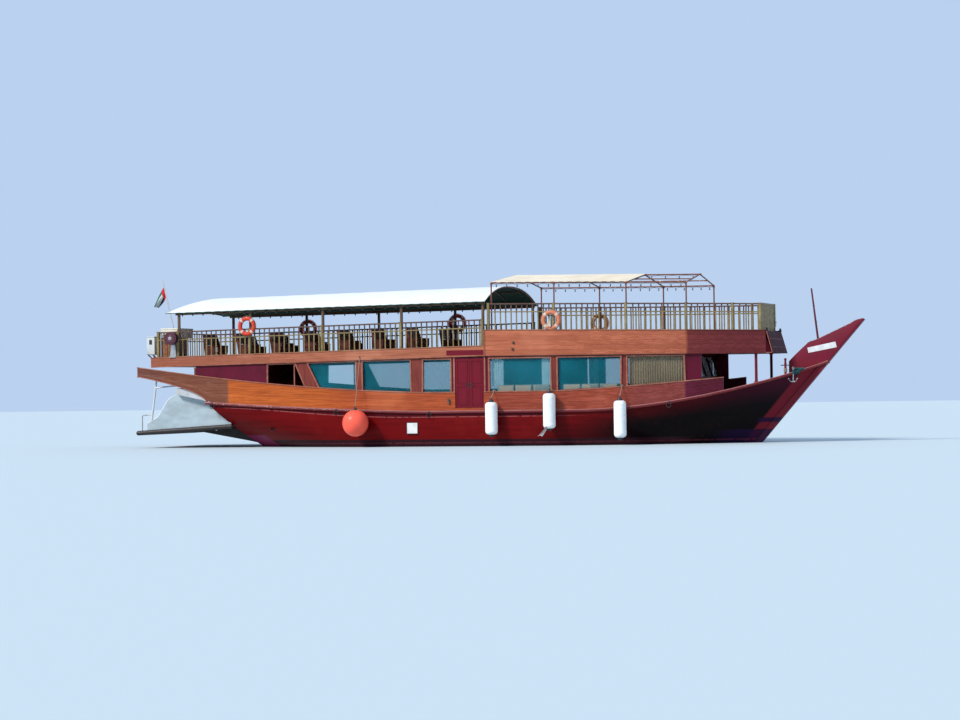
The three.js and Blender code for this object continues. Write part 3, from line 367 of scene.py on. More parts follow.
# %% A heap of shapes
class Heap:
    """Shapes gathered into one mesh."""

    def __init__(self):
        self.points = []
        self.faces = []
        self.finish_of = []
        self.board_of = []
        self.finish = 0
        self.board = 0.5

    def add(self, points, faces):
        base = len(self.points)
        self.points += [tuple(p) for p in points]
        self.faces += [tuple(base + i for i in face) for face in faces]
        self.finish_of += [self.finish] * len(faces)
        self.board_of += [self.board] * len(faces)

    def grid(self, rows, around=False, ends=False, ring=False):
        """Quads between rows of points. Around closes each row, ends fills two rows, ring joins them."""
        wide = len(rows[0])
        count = len(rows)
        faces = []
        for r in range(count if ring else count - 1):
            a, b = r * wide, ((r + 1) % count) * wide
            for c in range(wide if around else wide - 1):
                d = (c + 1) % wide
                faces.append((a + c, a + d, b + d, b + c))
        if ends:
            faces += [tuple(range(wide - 1, -1, -1)), tuple((count - 1) * wide + c for c in range(wide))]
        self.add([p for row in rows for p in row], faces)

    def tube(self, path, radius, sides=8, ends=True, ring=False):
        """A pipe along a path. The radius may be one number or one for each point."""
        path = [Vector(p) for p in path]
        count = len(path)
        radii = radius if hasattr(radius, "__len__") else [radius] * count
        tangents = []
        for i in range(count):
            before = path[i - 1] if i or ring else path[0]
            after = path[(i + 1) % count] if i < count - 1 or ring else path[-1]
            tangents.append((after - before).normalized())
        side = tangents[0].orthogonal().normalized()
        rows = []
        for point, tangent, r in zip(path, tangents, radii):
            side = (side - tangent * side.dot(tangent)).normalized()
            other = tangent.cross(side)
            rows.append([point + (side * cos(a) + other * sin(a)) * r
                         for a in (2 * pi * k / sides for k in range(sides))])
        self.grid(rows, around=True, ends=ends and not ring, ring=ring)

    def solid(self, rows):
        """Quads between closed rows of points, filled at both ends."""
        self.grid(rows, around=True, ends=True)

    def block(self, low, high, edge=0.0):
        (x0, x1), (y0, y1), (z0, z1) = (sorted(pair) for pair in zip(low, high))
        self.along(x0, x1, (y0 + y1) / 2, (z0 + z1) / 2, y1 - y0, z1 - z0, edge)

    def along(self, x0, x1, y, z, width, height, edge=0.0):
        self.bar((x0, y, z), (x1, y, z), width, height, edge=edge)

    def athwart(self, x, y0, y1, z, width, height, edge=0.0):
        self.bar((x, y0, z), (x, y1, z), width, height, edge=edge)

    def upright(self, x, y, z0, z1, width, depth, edge=0.0):
        self.bar((x, y, z0), (x, y, z1), width, depth, up=(0, 1, 0), edge=edge)

    def bar(self, start, end, width, height, up=(0, 0, 1), edge=0.0):
        """A squared timber from start to end, with its four edges taken off."""
        start, end = Vector(start), Vector(end)
        along = (end - start).normalized()
        side = along.cross(Vector(up))
        side = (side if side.length > 1e-6 else along.orthogonal()).normalized()
        rise = side.cross(along)
        edge = edge or min(width, height) * 0.12
        w, h = width / 2, height / 2
        corner = [(-w + edge, -h), (w - edge, -h), (w, -h + edge), (w, h - edge),
                  (w - edge, h), (-w + edge, h), (-w, h - edge), (-w, -h + edge)]
        self.solid([[middle + side * a + rise * b for a, b in corner] for middle in (start, end)])

    def lathe(self, origin, axis, profile, sides=20, ends=True):
        """A turned shape: pairs of distance along the axis and radius."""
        origin, axis = Vector(origin), Vector(axis).normalized()
        side = axis.orthogonal().normalized()
        other = axis.cross(side)
        rows = [[origin + axis * along + (side * cos(a) + other * sin(a)) * r
                 for a in (2 * pi * k / sides for k in range(sides))] for along, r in profile]
        self.grid(rows, around=True, ends=ends)

    def ring(self, centre, axis, radius, thick, around=32, sides=10, start=0.0, sweep=360.0):
        """A torus, or part of one, around an axis."""
        centre, axis = Vector(centre), Vector(axis).normalized()
        side = axis.cross(above(1))
        side = (side if side.length > 1e-6 else Vector((1, 0, 0))).normalized()
        up = side.cross(axis)
        whole = sweep >= 359.9
        count = around if whole else around + 1
        angles = [radians(start + sweep * i / around) for i in range(count)]
        path = [centre + side * (cos(a) * radius) + up * (sin(a) * radius) for a in angles]
        self.tube(path, thick, sides, ring=whole)

    def ball(self, centre, radius, sides=12, squash=1.0):
        angles = [pi * k / (sides // 2) for k in range(sides // 2 + 1)]
        self.lathe(centre, UP, [(-cos(a) * radius * squash, max(1e-4, sin(a) * radius)) for a in angles],
                   sides)

    def prism(self, outline, push):
        """A plate: an outline of points, pushed through along a vector."""
        push = Vector(push)
        near = [Vector(p) for p in outline]
        self.solid([near, [p + push for p in near]])


def soften(mesh, angle=38.0):
    """Smooth shading, kept sharp where two faces meet at more than an angle."""
    shape = bmesh.new()
    shape.from_mesh(mesh)
    bmesh.ops.recalc_face_normals(shape, faces=shape.faces)
    for face in shape.faces:
        face.smooth = True
    for edge in shape.edges:
        edge.smooth = len(edge.link_faces) == 2 and edge.calc_face_angle(4.0) < radians(angle)
    shape.to_mesh(mesh)
    shape.free()


def bare_mesh(name, heap):
    mesh = bpy.data.meshes.new(name)
    mesh.from_pydata(heap.points, [], heap.faces)
    return mesh


pieces = {}


def piece(name, heap, finishes, body="vessel", replaces=(), angle=38.0):
    """Turns a heap into an object that rides on a body."""
    mesh = bare_mesh(name, heap)
    for finish in finishes:
        mesh.materials.append(finish.material)
    mesh.polygons.foreach_set("material_index", heap.finish_of)
    mesh.attributes.new("board", "FLOAT", "FACE").data.foreach_set("value", heap.board_of)
    soften(mesh, angle)
    made = new_object(name, mesh)
    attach(made, body)
    if replaces:
        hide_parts(*replaces)
    pieces[name] = made
    return made


def dress(node, *finishes):
    """Gives a solid of the frame its finish."""
    slots = nodes[node].data.materials
    slots.clear()
    for finish in finishes:
        slots.append(finish.material)


print("heap ready")

# %% [markdown]
# Varnished planks are the boat's main surface. Each board has its own shade, its grain runs along it in
# thin streaks, and old varnish wears pale in patches. Noise squeezed along the boat gives grain at the
# right size anywhere, and the board number from the heap gives each strake its shade.

# %% Wood finishes
UPRIGHT_GRAIN = (9.0, 9.0, 1.2)
EVEN_GRAIN = (5.0, 5.0, 5.0)
ALONG = (-12.6, 9.5)             # the planked band, from its after end to its fore end
WEATHERED, ORANGE, AMBER = (0.255, 0.092, 0.052), (0.58, 0.135, 0.024), (0.46, 0.095, 0.03)
RED_BROWN, MAHOGANY, DARK_RED = (0.36, 0.072, 0.038), (0.27, 0.056, 0.045), (0.115, 0.01, 0.027)
BAND_TONES = [
    (-12.6, (0.22, 0.085, 0.06)), (-11.48, (0.22, 0.085, 0.06)), (-11.46, WEATHERED), (-8.66, WEATHERED),
    (-8.64, ORANGE), (-5.2, ORANGE), (-3.0, AMBER), (0.2, AMBER), (1.8, RED_BROWN), (5.8, RED_BROWN),
    (6.6, MAHOGANY), (8.16, MAHOGANY), (8.18, DARK_RED), (9.5, DARK_RED),
]
FASCIA_TONES = [
    (-12.6, (0.41, 0.14, 0.08)), (1.1, (0.46, 0.155, 0.082)), (1.2, (0.54, 0.168, 0.086)),
    (8.21, (0.48, 0.135, 0.07)), (8.23, (0.2, 0.036, 0.033)), (9.5, (0.18, 0.03, 0.032)),
]


def wood(name, colour, dark, pale, roughness=0.38, coat=0.06, grain_size=(0.9, 14.0, 22.0), boards=0.0):
    """Timber with its grain along the first axis. A colour may be a list of steps along the boat."""
    made = Finish(name, (1.0, 1.0, 1.0), roughness, coat=coat)
    place = made.place()
    x, y, z = made.axes(place)
    deep = shade(dark, 0.9)
    if isinstance(colour, list):
        along = made.node("MapRange", None, x, ALONG[0], ALONG[1], 0.0, 1.0)
        stops = [((at - ALONG[0]) / (ALONG[1] - ALONG[0]), tone) for at, tone in colour]
        colour = made.node("ValToRGB", {"stops": stops}, along)
        dark, pale, deep = colour * dark, colour * pale, colour * deep

    def squeezed(factor, detail, roughness):
        return made.noise(made.stretched(place, tuple(factor * s for s in grain_size)), 1.0, detail,
                          roughness)

    streaks, fibres, knots = squeezed(1.0, 6.0, 0.65), squeezed(3.2, 3.0, 0.6), squeezed(0.55, 4.0, 0.7)
    patches = made.noise(place, 0.55, 3.0, 0.6)
    board = made.node("Attribute", {"attribute_type": "GEOMETRY", "attribute_name": "board"}, output="Fac")
    grain = made.rise(streaks * 0.7 + fibres * 0.3, 0.38, 0.62)
    tone = made.blend(grain, colour, dark)
    tone = made.cover(tone, deep, knots, 0.6, 0.72, 0.7)
    tone = made.cover(tone, pale, patches, 0.52, 0.74, 0.55)
    tone = made.cover(tone, deep, board, 0.0, 1.0, 0.55)
    height = grain + streaks
    if boards:
        gap = made.rise(made.node("Math", {"operation": "PINGPONG"}, y, boards / 2), 0.005, 0.002)
        tone = made.blend(gap * 0.85, tone, (0.02, 0.012, 0.008))
        height = height - gap * 2.0
    return made.worn(tone, patches * 0.3 + grain * 0.12 + (roughness - 0.18), height, 0.003, 0.4)


plank_varnish = wood("varnished_planks", BAND_TONES, (0.6, 0.48, 0.42), (1.22, 1.5, 1.6))
fascia_varnish = wood("fascia_planks", FASCIA_TONES, (0.66, 0.56, 0.5), (1.15, 1.3, 1.35))
trim_varnish = wood("window_trim", (0.42, 0.16, 0.1), (0.26, 0.08, 0.05), (0.52, 0.27, 0.18),
                    grain_size=(4.0, 9.0, 9.0))
deck_wood = wood("deck_planks", (0.34, 0.17, 0.08), (0.2, 0.09, 0.04), (0.48, 0.3, 0.18), 0.62, 0.0,
                 (1.2, 16.0, 16.0), 0.14)
rail_paint = wood("rail_paint", (0.31, 0.235, 0.105), (0.19, 0.135, 0.055), (0.42, 0.35, 0.19), 0.5, 0.02,
                  EVEN_GRAIN)
rail_brown = wood("rail_brown", (0.155, 0.092, 0.072), (0.09, 0.05, 0.04), (0.26, 0.18, 0.13), 0.5, 0.02,
                  EVEN_GRAIN)
canopy_post = wood("canopy_posts", (0.165, 0.105, 0.062), (0.1, 0.055, 0.035), (0.27, 0.2, 0.11), 0.5, 0.02,
                   UPRIGHT_GRAIN)
# Dark wood: on the port canopy posts it is painted shade for the far side; the curtain rails have it as their
# own colour.
dark_wood_and_post_shade = wood("dark_wood_and_far_post_shade", (0.13, 0.052, 0.035), (0.07, 0.026, 0.018), (0.19, 0.085, 0.05), 0.5, 0.1,
                 UPRIGHT_GRAIN)
seat_wood = wood("seat_slats", (0.2, 0.052, 0.036), (0.1, 0.024, 0.018), (0.27, 0.085, 0.055), 0.5, 0.1,
                 (9.0, 1.4, 9.0))
helm_varnish = wood("helm_wood", (0.3, 0.095, 0.03), (0.14, 0.036, 0.012), (0.38, 0.15, 0.06), 0.25, 0.5,
                    (8.0, 2.0, 8.0))
print("wood finishes made")

# %% [markdown]
# The hull is a deep weathered red. Paint on planks shows faint lines where strakes meet, a thin pale line
# below the rub rail and grime near the water, so its bands are steps of z. A strip under the rub rail is
# darkened as painted shade, and the fore part, under the flare, is painted with shade almost black.

# %% Painted hull
PALE_LINE = 0.2                  # below the rub rail
BOOT_TOP = 0.27                  # height of the dark band at the water
HULL_RED = (0.15, 0.0018, 0.0028)
STEM_RED = (0.165, 0.009, 0.019)
NAVY = (0.013, 0.003, 0.03)


def step_at(made, value, edge, soft):
    """0 below an edge, 1 above it."""
    return made.rise(value, edge - soft, edge + soft)


def band(made, value, low, high, soft=0.008):
    return step_at(made, value, low, soft) * (1 - step_at(made, value, high, soft))


def navy_bands(made, behind, z, tone):
    """Two dark blue bands that cross the stem near the water."""
    upper = band(made, z, 0.71, 0.87) * (1 - made.rise(behind, 0.7, 0.78))
    lower = (1 - step_at(made, z, 0.47, 0.01)) * (1 - made.rise(behind, 1.1, 1.9))
    return made.blend(lower * 0.85, made.blend(upper * 0.92, tone, NAVY), NAVY)


def painted_hull():
    made = Finish("hull_paint", HULL_RED, 0.38, coat=0.02, shine=0.08)
    place = made.place()
    x, y, z = made.axes(place)
    streaks = made.noise(made.stretched(place, (0.5, 0.5, 9.0)), 1.0, 5.0, 0.6)
    runs = made.noise(made.stretched(place, (5.0, 5.0, 0.35)), 1.0, 4.0, 0.6)
    blotches = made.noise(place, 0.8, 4.0, 0.6)
    tone = made.blend(made.rise(streaks, 0.4, 0.7), HULL_RED, (0.105, 0.001, 0.002))
    tone = made.cover(tone, (0.2, 0.008, 0.006), blotches, 0.5, 0.75, 0.5)
    # Painted shade: towards the stem the hull darkens to deep maroon, and low under the bow's flare it is
    # painted almost black.
    tone = made.cover(tone, (0.06, 0.0015, 0.013), x, 7.0, 10.5)
    painted_bow_shade = made.rise(x, 1.6, 7.0) * made.rise(z + x * -0.15, 0.75, -0.35)
    tone = made.blend(painted_bow_shade * (runs * 0.2 + 0.9), tone, (0.0018, 0.0004, 0.0012))
    tone = made.blend(made.rise(runs, 0.58, 0.72, 0.0, 0.35) * made.rise(z, 1.3, 0.3), tone,
                      (0.07, 0.006, 0.008))
    ahead = made.node("Math", {"operation": "MAXIMUM"}, (x - 4.5) / 8.3, 0.0)
    drop = made.rise(x, -0.8, -9.6) ** 1.4 * 0.42 + ahead ** 1.9 * 1.59 + 1.25 - z
    worn = made.rise(made.noise(place, 7.0, 2.0), 0.3, 0.5)
    astern = made.rise(x, 5.0, 3.0)
    # Painted shade: a darker strip under the rub rail, down to the pale line.
    tone = made.blend((1 - step_at(made, drop, PALE_LINE, 0.006)) * astern * 0.75, tone,
                      (0.05, 0.0012, 0.006))
    pale = band(made, drop, PALE_LINE, PALE_LINE + 0.026, 0.004) * worn * astern * made.rise(x, -9.0, -8.6)
    tone = made.blend(pale * 0.8, tone, (0.34, 0.1, 0.09))
    behind = z * STEM_RAKE + STEM_AT_WATER - x
    tone = made.blend(1 - made.rise(behind, 0.56, 0.68), tone, STEM_RED)
    tone = navy_bands(made, behind, z, tone)
    foot = (1 - made.rise(x + z * 0.9515, -7.15, -7.1)) * band(made, z, -0.04, 0.44, 0.01)
    tone = made.blend(foot * 0.85, tone, (0.2, 0.022, 0.085))
    boot = (1 - step_at(made, z + blotches * 0.04, BOOT_TOP, 0.015)) * made.rise(x, 8.4, 7.6) * (1 - foot)
    tone = made.blend(boot, tone, (0.03, 0.0065, 0.011))
    tone = made.blend(band(made, z, 0.1, 0.155, 0.012) * worn * 0.5, tone, (0.16, 0.028, 0.04))
    weed = 1 - step_at(made, z + runs * 0.16, 0.06, 0.05)
    tone = made.blend(weed * 0.75, tone, (0.022, 0.024, 0.016))
    strakes = made.noise(made.stretched(place, (1.5, 1.5, 14.0)), 1.0, 3.0)
    gloss = blotches * 0.25 + made.rise(z, 0.3, 0.0, 0.0, 0.2) + 0.3
    return made.worn(tone, gloss, strakes * 0.6 + blotches * 0.6, 0.006)


def paint(name, colour, roughness, wear, amount, scale, coat=0.0, metallic=0.0, streak=(1.0, 1.0, 1.0),
          bump=0.0015):
    """Brushed paint: patches of fade, a worn tone on top, and brush marks in the surface."""
    made = Finish(name, colour, roughness, metallic, coat=coat)
    place = made.place()
    patches = made.noise(made.stretched(place, streak), scale, 4.0, 0.6)
    specks = made.noise(place, scale * 9.0, 3.0, 0.6)
    tone = made.cover(colour, shade(colour, 0.62), patches, 0.35, 0.7, 0.55)
    tone = made.cover(tone, wear, patches * 0.6 + specks * 0.4, 0.53, 0.68, amount)
    return made.worn(tone, patches * 0.25 + specks * 0.1 + (roughness - 0.17), patches + specks * 0.5, bump)


def stem_finish():
    """Maroon like the wall, with the hull's navy bands carried round the stem."""
    made = paint("stem_paint", (0.155, 0.006, 0.022), 0.42, (0.24, 0.03, 0.05), 0.3, 1.6, 0.03,
                 streak=(1.0, 1.0, 0.5))
    tone = Wire(made, made.shader.inputs["Base Color"].links[0].from_socket)
    x, y, z = made.axes(made.place())
    tone = made.blend(made.rise(z, 3.0, 2.6), tone, STEM_RED)
    made.set("Base Color", navy_bands(made, z * STEM_RAKE + STEM_AT_WATER - x, z, tone))
    return made


hull_paint = painted_hull()
stem_paint = stem_finish()
rub_paint = paint("rub_rail_paint", (0.165, 0.02, 0.022), 0.4, (0.4, 0.15, 0.13), 0.4, 2.2, 0.1,
                  streak=(0.6, 2.0, 5.0))
# The bead's pale pink is partly worn paint and partly a painted highlight along the top of the rail.
bead_worn_paint_and_highlight = paint("sheer_bead_worn_paint_and_highlight", (0.44, 0.175, 0.165), 0.4, (0.3, 0.08, 0.08), 0.5, 2.2, 0.1,
                   streak=(0.5, 2.0, 5.0))
maroon = paint("maroon_paint", (0.16, 0.005, 0.016), 0.45, (0.24, 0.02, 0.03), 0.25, 1.4, 0.05,
               streak=(1.0, 1.0, 0.4))
deep_maroon = paint("visor_paint", (0.05, 0.002, 0.007), 0.5, (0.12, 0.02, 0.03), 0.2, 2.5)
deep_maroon.set("Specular IOR Level", 0.05)
staff_paint = paint("staff_paint", (0.62, 0.6, 0.56), 0.4, (0.35, 0.25, 0.16), 0.4, 6.0)
pole_paint = paint("bow_pole_paint", (0.13, 0.022, 0.035), 0.4, (0.25, 0.08, 0.07), 0.35, 8.0)
platform_paint = paint("platform_paint", (0.42, 0.5, 0.53), 0.45, (0.3, 0.31, 0.3), 0.25, 1.1, 0.05,
                       streak=(1.0, 1.0, 2.2))
plate_edge_paint = paint("plate_edge_paint", (0.66, 0.7, 0.72), 0.35, (0.34, 0.33, 0.3), 0.3, 4.0)
gallery_paint = paint("gallery_paint", (0.5, 0.52, 0.53), 0.5, (0.3, 0.27, 0.22), 0.3, 2.0)
locker_paint = paint("locker_paint", (0.86, 0.8, 0.65), 0.5, (0.36, 0.26, 0.16), 0.3, 2.0)
shell_white = paint("cabinet_shell", (0.62, 0.64, 0.62), 0.45, (0.32, 0.29, 0.24), 0.3, 3.0)
plum = paint("reel_drum_paint", (0.135, 0.048, 0.068), 0.45, (0.28, 0.12, 0.12), 0.35, 5.0)
engine_paint = paint("engine_paint", (0.06, 0.11, 0.09), 0.45, (0.05, 0.04, 0.03), 0.5, 3.0)
rudder_paint = paint("rudder_paint", (0.11, 0.018, 0.018), 0.5, (0.1, 0.09, 0.06), 0.6, 2.0)
grey_panel = paint("grey_panel", (0.42, 0.45, 0.48), 0.4, (0.25, 0.25, 0.25), 0.25, 3.0)
iron = paint("iron", (0.055, 0.05, 0.05), 0.5, (0.12, 0.05, 0.025), 0.5, 9.0, metallic=0.6)
galvanised = paint("galvanised", (0.46, 0.47, 0.47), 0.42, (0.25, 0.17, 0.11), 0.45, 7.0, metallic=0.75)
steel = paint("reel_steel", (0.52, 0.53, 0.54), 0.32, (0.3, 0.26, 0.22), 0.3, 6.0, metallic=0.85)
bronze = paint("bronze", (0.42, 0.24, 0.075), 0.35, (0.1, 0.16, 0.11), 0.45, 8.0, metallic=0.9)
pipe_paint = paint("pergola_pipe", (0.2, 0.075, 0.05), 0.42, (0.38, 0.2, 0.14), 0.45, 6.0, 0.1, bump=0.0008)
pale_plate = paint("blank_plate", (0.74, 0.74, 0.73), 0.35, (0.5, 0.5, 0.48), 0.2, 4.0, 0.2)
rubber = paint("black_rubber", (0.018, 0.018, 0.019), 0.55, (0.08, 0.08, 0.08), 0.35, 5.0)
print("painted finishes made")

# %% [markdown]
# Vinyl, cloth, rope and glass each scatter light in their own way. Vinyl is smooth and scuffed where it
# rolls on the hull, cloth shows its weave only close up, and saloon glass is dark, smooth and partly clear.

# %% Vinyl, cloth, rope and glass
def vinyl(name, colour, scuff, roughness=0.36):
    made = Finish(name, colour, roughness, coat=0.15)
    place = made.place()
    patches = made.noise(place, 2.6, 4.0)
    marks = made.noise(made.stretched(place, (3.0, 3.0, 14.0)), 1.6, 4.0, 0.65)
    tone = made.cover(colour, shade(colour, 0.72), patches, 0.4, 0.7, 0.35)
    tone = made.cover(tone, scuff, marks, 0.6, 0.72, 0.6)
    gloss = made.rise(marks, 0.5, 0.7, roughness, roughness + 0.25)
    return made.worn(tone, gloss, patches + marks * 0.4, 0.002, 0.5)


def cloth(name, colour, fold, pitch=0.004, roughness=0.8):
    made = Finish(name, colour, roughness)
    place = made.place()
    x, y, z = made.axes(place)
    warp, weft = (made.node("Math", {"operation": "SINE"}, way * (2 * pi / pitch)) for way in (x, y + z))
    patches = made.noise(place, 1.3, 4.0)
    tone = made.cover(colour, fold, patches, 0.35, 0.7, 0.6)
    return made.worn(tone, patches * 0.2 + (roughness - 0.1), warp * 0.25 + weft * 0.25 + patches, 0.0015,
                     0.7)


def rope(name, colour):
    made = Finish(name, colour, 0.85)
    place = made.place()
    x, y, z = made.axes(place)
    lay = made.node("Math", {"operation": "SINE"}, (x + y + z) * 420.0)
    fuzz = made.noise(place, 60.0, 3.0)
    tone = made.cover(colour, shade(colour, 0.5), lay * 0.3 + fuzz, 0.3, 0.75)
    return made.worn(tone, fuzz * 0.2 + 0.75, lay, 0.003, 0.9)


def glass(name, colour, alpha, clear_from=99.0):
    """Tinted glass. Forward of a place along the boat it has no tint."""
    made = Finish(name, colour, 0.06, alpha=alpha, coat=0.1, shine=0.4)
    place = made.place()
    film = made.noise(place, 0.9, 4.0)
    tint = made.cover(colour, shade(colour, 1.4), film, 0.35, 0.7)
    clear = step_at(made, made.axes(place)[0], clear_from, 0.01)
    made.set("Base Color", made.blend(clear, tint, (0.04, 0.035, 0.025)))
    made.set("Roughness", film * 0.08 + 0.04)
    made.set("Alpha", film * 0.12 + (alpha - 0.06))
    return made


lifebuoy_orange = vinyl("lifebuoy_shell", (0.62, 0.055, 0.025), (0.45, 0.16, 0.1))
lifebuoy_pale = vinyl("lifebuoy_faded", (0.62, 0.2, 0.105), (0.55, 0.35, 0.25))
lifebuoy_band = vinyl("lifebuoy_bands", (0.66, 0.5, 0.42), (0.5, 0.35, 0.3))
fender_white = vinyl("fender_vinyl", (0.93, 0.94, 0.92), (0.55, 0.5, 0.43))
fender_cap = vinyl("fender_caps", (0.035, 0.04, 0.055), (0.12, 0.11, 0.1))
buoy_orange = vinyl("buoy_vinyl", (1.0, 0.125, 0.075), (0.75, 0.14, 0.09), 0.3)
canopy_white = cloth("canopy_skin", (0.79, 0.79, 0.775), (0.7, 0.71, 0.695), 0.006, 0.62)
canopy_green = cloth("canopy_lining", (0.035, 0.11, 0.075), (0.022, 0.07, 0.052), 0.006, 0.75)
shade_white = cloth("shade_net", (0.8, 0.7, 0.54), (0.66, 0.54, 0.38), 0.012, 0.85)
rag_cloth = cloth("rags", (0.5, 0.48, 0.47), (0.3, 0.27, 0.26), 0.003, 0.9)
settee_cloth = cloth("settee_cloth", (0.45, 0.36, 0.25), (0.34, 0.26, 0.18), 0.004, 0.85)
curtain_cloth = cloth("curtain_cloth", (0.52, 0.42, 0.26), (0.36, 0.28, 0.17), 0.004, 0.85)
blind_cloth = cloth("blind_cloth", (0.01, 0.035, 0.055), (0.006, 0.022, 0.036))
drape_cloth = cloth("drape_cloth", (0.62, 0.74, 0.78), (0.45, 0.6, 0.66), 0.004, 0.85)
pale_rope = rope("pale_rope", (0.5, 0.4, 0.29))
teal_rope = rope("teal_rope", (0.03, 0.16, 0.17))
window_glass = glass("saloon_glass", (0.002, 0.17, 0.22), 0.27, 6.15)
clear_glass = glass("windscreen_panes", (0.3, 0.38, 0.4), 0.35)
lamp_glass = Finish("lamp_glass", (0.1, 0.095, 0.09), 0.2)
lamp_glass.set("Roughness", lamp_glass.noise(lamp_glass.place(), 30.0) * 0.2 + 0.12)
print("soft finishes made:", len(bpy.data.materials), "materials in all")

# %% [markdown]
# The hull is lofted through leaning ribs, full amidships and hollow at the ends, and closed at the sheer.
# The saloon, the helm and the foredeck are carved out of it at their three heights.

# %% Hull planking
RIBS = 88
RIB_POINTS = 26
BAND_END = 9.4


def rib(x_top):
    """One side of a rib, from the keel up to the sheer."""
    t = (x_top - TRANSOM_TOP) / (SHEER_FRONT - TRANSOM_TOP)
    bottom_x = mix(-7.42, stem_front(HULL_BOTTOM) - STEM_SIDING, t)
    rise = clamp(1 - t / 0.35)
    bottom_z = HULL_BOTTOM + 0.9 * rise * rise * (3 - 2 * rise)
    full = 1 - abs((x_top + 0.5) / (13.0 if x_top > -0.5 else 10.5)) ** 2.2
    points = []
    for k in range(RIB_POINTS + 1):
        v = (k / RIB_POINTS) ** 0.85
        belly = (1 - (1 - v) ** (1.1 + 2.1 * full)) ** (1.1 - 0.35 * full)
        points.append(Vector((mix(bottom_x, x_top, v), mix(KEEL_HALF, sheer_breadth(x_top), belly),
                              mix(bottom_z, sheer_height(x_top), v))))
    return points


def across(point):
    return Vector((point[0], -point[1], point[2]))


def well_side(x):
    return sheer_breadth(x) - BULWARK - 0.17 * clamp((x - 5.5) / 2.4) - 0.23 * clamp((-6.5 - x) / 2.4)


def well(name, start, stop, side, low):
    """A space to carve out: a slab from a floor up past the sheer."""
    heap = Heap()
    heap.solid([[(x, -side(x), low(x)), (x, side(x), low(x)), (x, side(x), 4.0), (x, -side(x), 4.0)]
                for x in steps(start, stop, 0.35)])
    mesh = bare_mesh(name, heap)
    soften(mesh)
    return new_object(name, mesh)


def settled(thing):
    """The thing's mesh with its modifiers worked in."""
    return bpy.data.meshes.new_from_object(thing.evaluated_get(bpy.context.evaluated_depsgraph_get()))


def carve(made, cutters):
    """Takes the cutters out of an object and deletes them."""
    for cutter in cutters:
        modifier = made.modifiers.new(cutter.name, "BOOLEAN")
        modifier.operation = "DIFFERENCE"
        modifier.solver = "EXACT"
        modifier.object = cutter
    shaped = settled(made)
    made.modifiers.clear()
    made.data = shaped
    for cutter in cutters:
        bpy.data.objects.remove(cutter)


def make_hull():
    heap = Heap()
    rows = []
    for i in range(RIBS + 1):
        x_top = mix(TRANSOM_TOP, SHEER_FRONT, (1 - cos(pi * i / RIBS)) / 2)
        side = rib(x_top)
        rows.append([p.copy() for p in reversed(side)] + [across(p) for p in side])
    heap.solid(rows)
    hull = piece("hull_planking", heap, [hull_paint, deck_wood, gallery_paint],
                 replaces=["hull"])
    carve(hull, [
        well("saloon_well", -8.95, 7.9, well_side, lambda x: FLOOR),
        well("helm_well", 7.89, 9.0, lambda x: well_side(x) - 0.01, lambda x: HELM_FLOOR),
        well("foredeck_well", 8.99, 11.25, lambda x: sheer_breadth(x) - BULWARK,
             lambda x: sheer_height(x) - 0.07),
    ])
    for face in hull.data.polygons:
        middle, up = face.center, face.normal.z
        inside = abs(middle.y) < well_side(middle.x) + 0.05 and middle.z > FLOOR - 0.01
        if inside and up > 0.7 and middle.z < sheer_height(middle.x) - 0.02:
            face.material_index = 1
        elif inside and up < 0.7 and -8.96 < middle.x < 11.26 and face.normal.y * middle.y < -0.01:
            face.material_index = 2
    soften(hull.data, 30.0)
    return hull


hull = make_hull()
hull_surface = BVHTree.FromPolygons([v.co for v in hull.data.vertices],
                                    [tuple(f.vertices) for f in hull.data.polygons])
print("hull:", len(hull.data.polygons), "faces")

# %% [markdown]
# The stem is one curved timber that runs up into a long pointed head. It is a plate with its rim rounded in
# steps, and its outline passes smoothly through a few points.

# %% Stem, keel and the blank plate on the head
STEM_HALF = 0.13


def smooth_line(points, parts=6, straight=1):
    """A line that passes smoothly through its points, with ends that run on straight or are held."""
    points = [Vector(p) for p in points]
    first, last = ((a + (a - b) * straight) for a, b in (points[:2], points[:-3:-1]))
    ends = [first, *points, last]
    line = []
    for a, b, c, d in zip(ends, ends[1:], ends[2:], ends[3:]):
        for t in (k / parts for k in range(parts)):
            line.append(0.5 * ((2 * b) + (c - a) * t + (2 * a - 5 * b + 4 * c - d) * t * t
                               + (3 * b - a - 3 * c + d) * t ** 3))
    return line + [points[-1]]


def rounded_plate(heap, outline, half, edge):
    """A plate about the centreline, with its rim rounded in steps. The outline is x, z points."""
    count = len(outline)
    turn = sum(outline[i - 1][0] * outline[i][1] - outline[i][0] * outline[i - 1][1] for i in range(count))
    sign = 1.0 if turn > 0 else -1.0
    inward = []
    for i in range(count):
        a, b, c = (Vector(outline[j % count]) for j in (i - 1, i, i + 1))
        normal = (b - a).normalized() + (c - b).normalized()
        normal = Vector((-normal.y, normal.x)) * sign
        inward.append(normal.normalized() if normal.length > 1e-6 else Vector((0, 0)))
    rows = []
    for y, sink in ((-half, edge), (-half + edge * 0.3, edge * 0.3), (-half + edge, 0.0),
                    (half - edge, 0.0), (half - edge * 0.3, edge * 0.3), (half, edge)):
        rows.append([(x + n.x * sink, y, z + n.y * sink) for (x, z), n in zip(outline, inward)])
    heap.solid(rows)


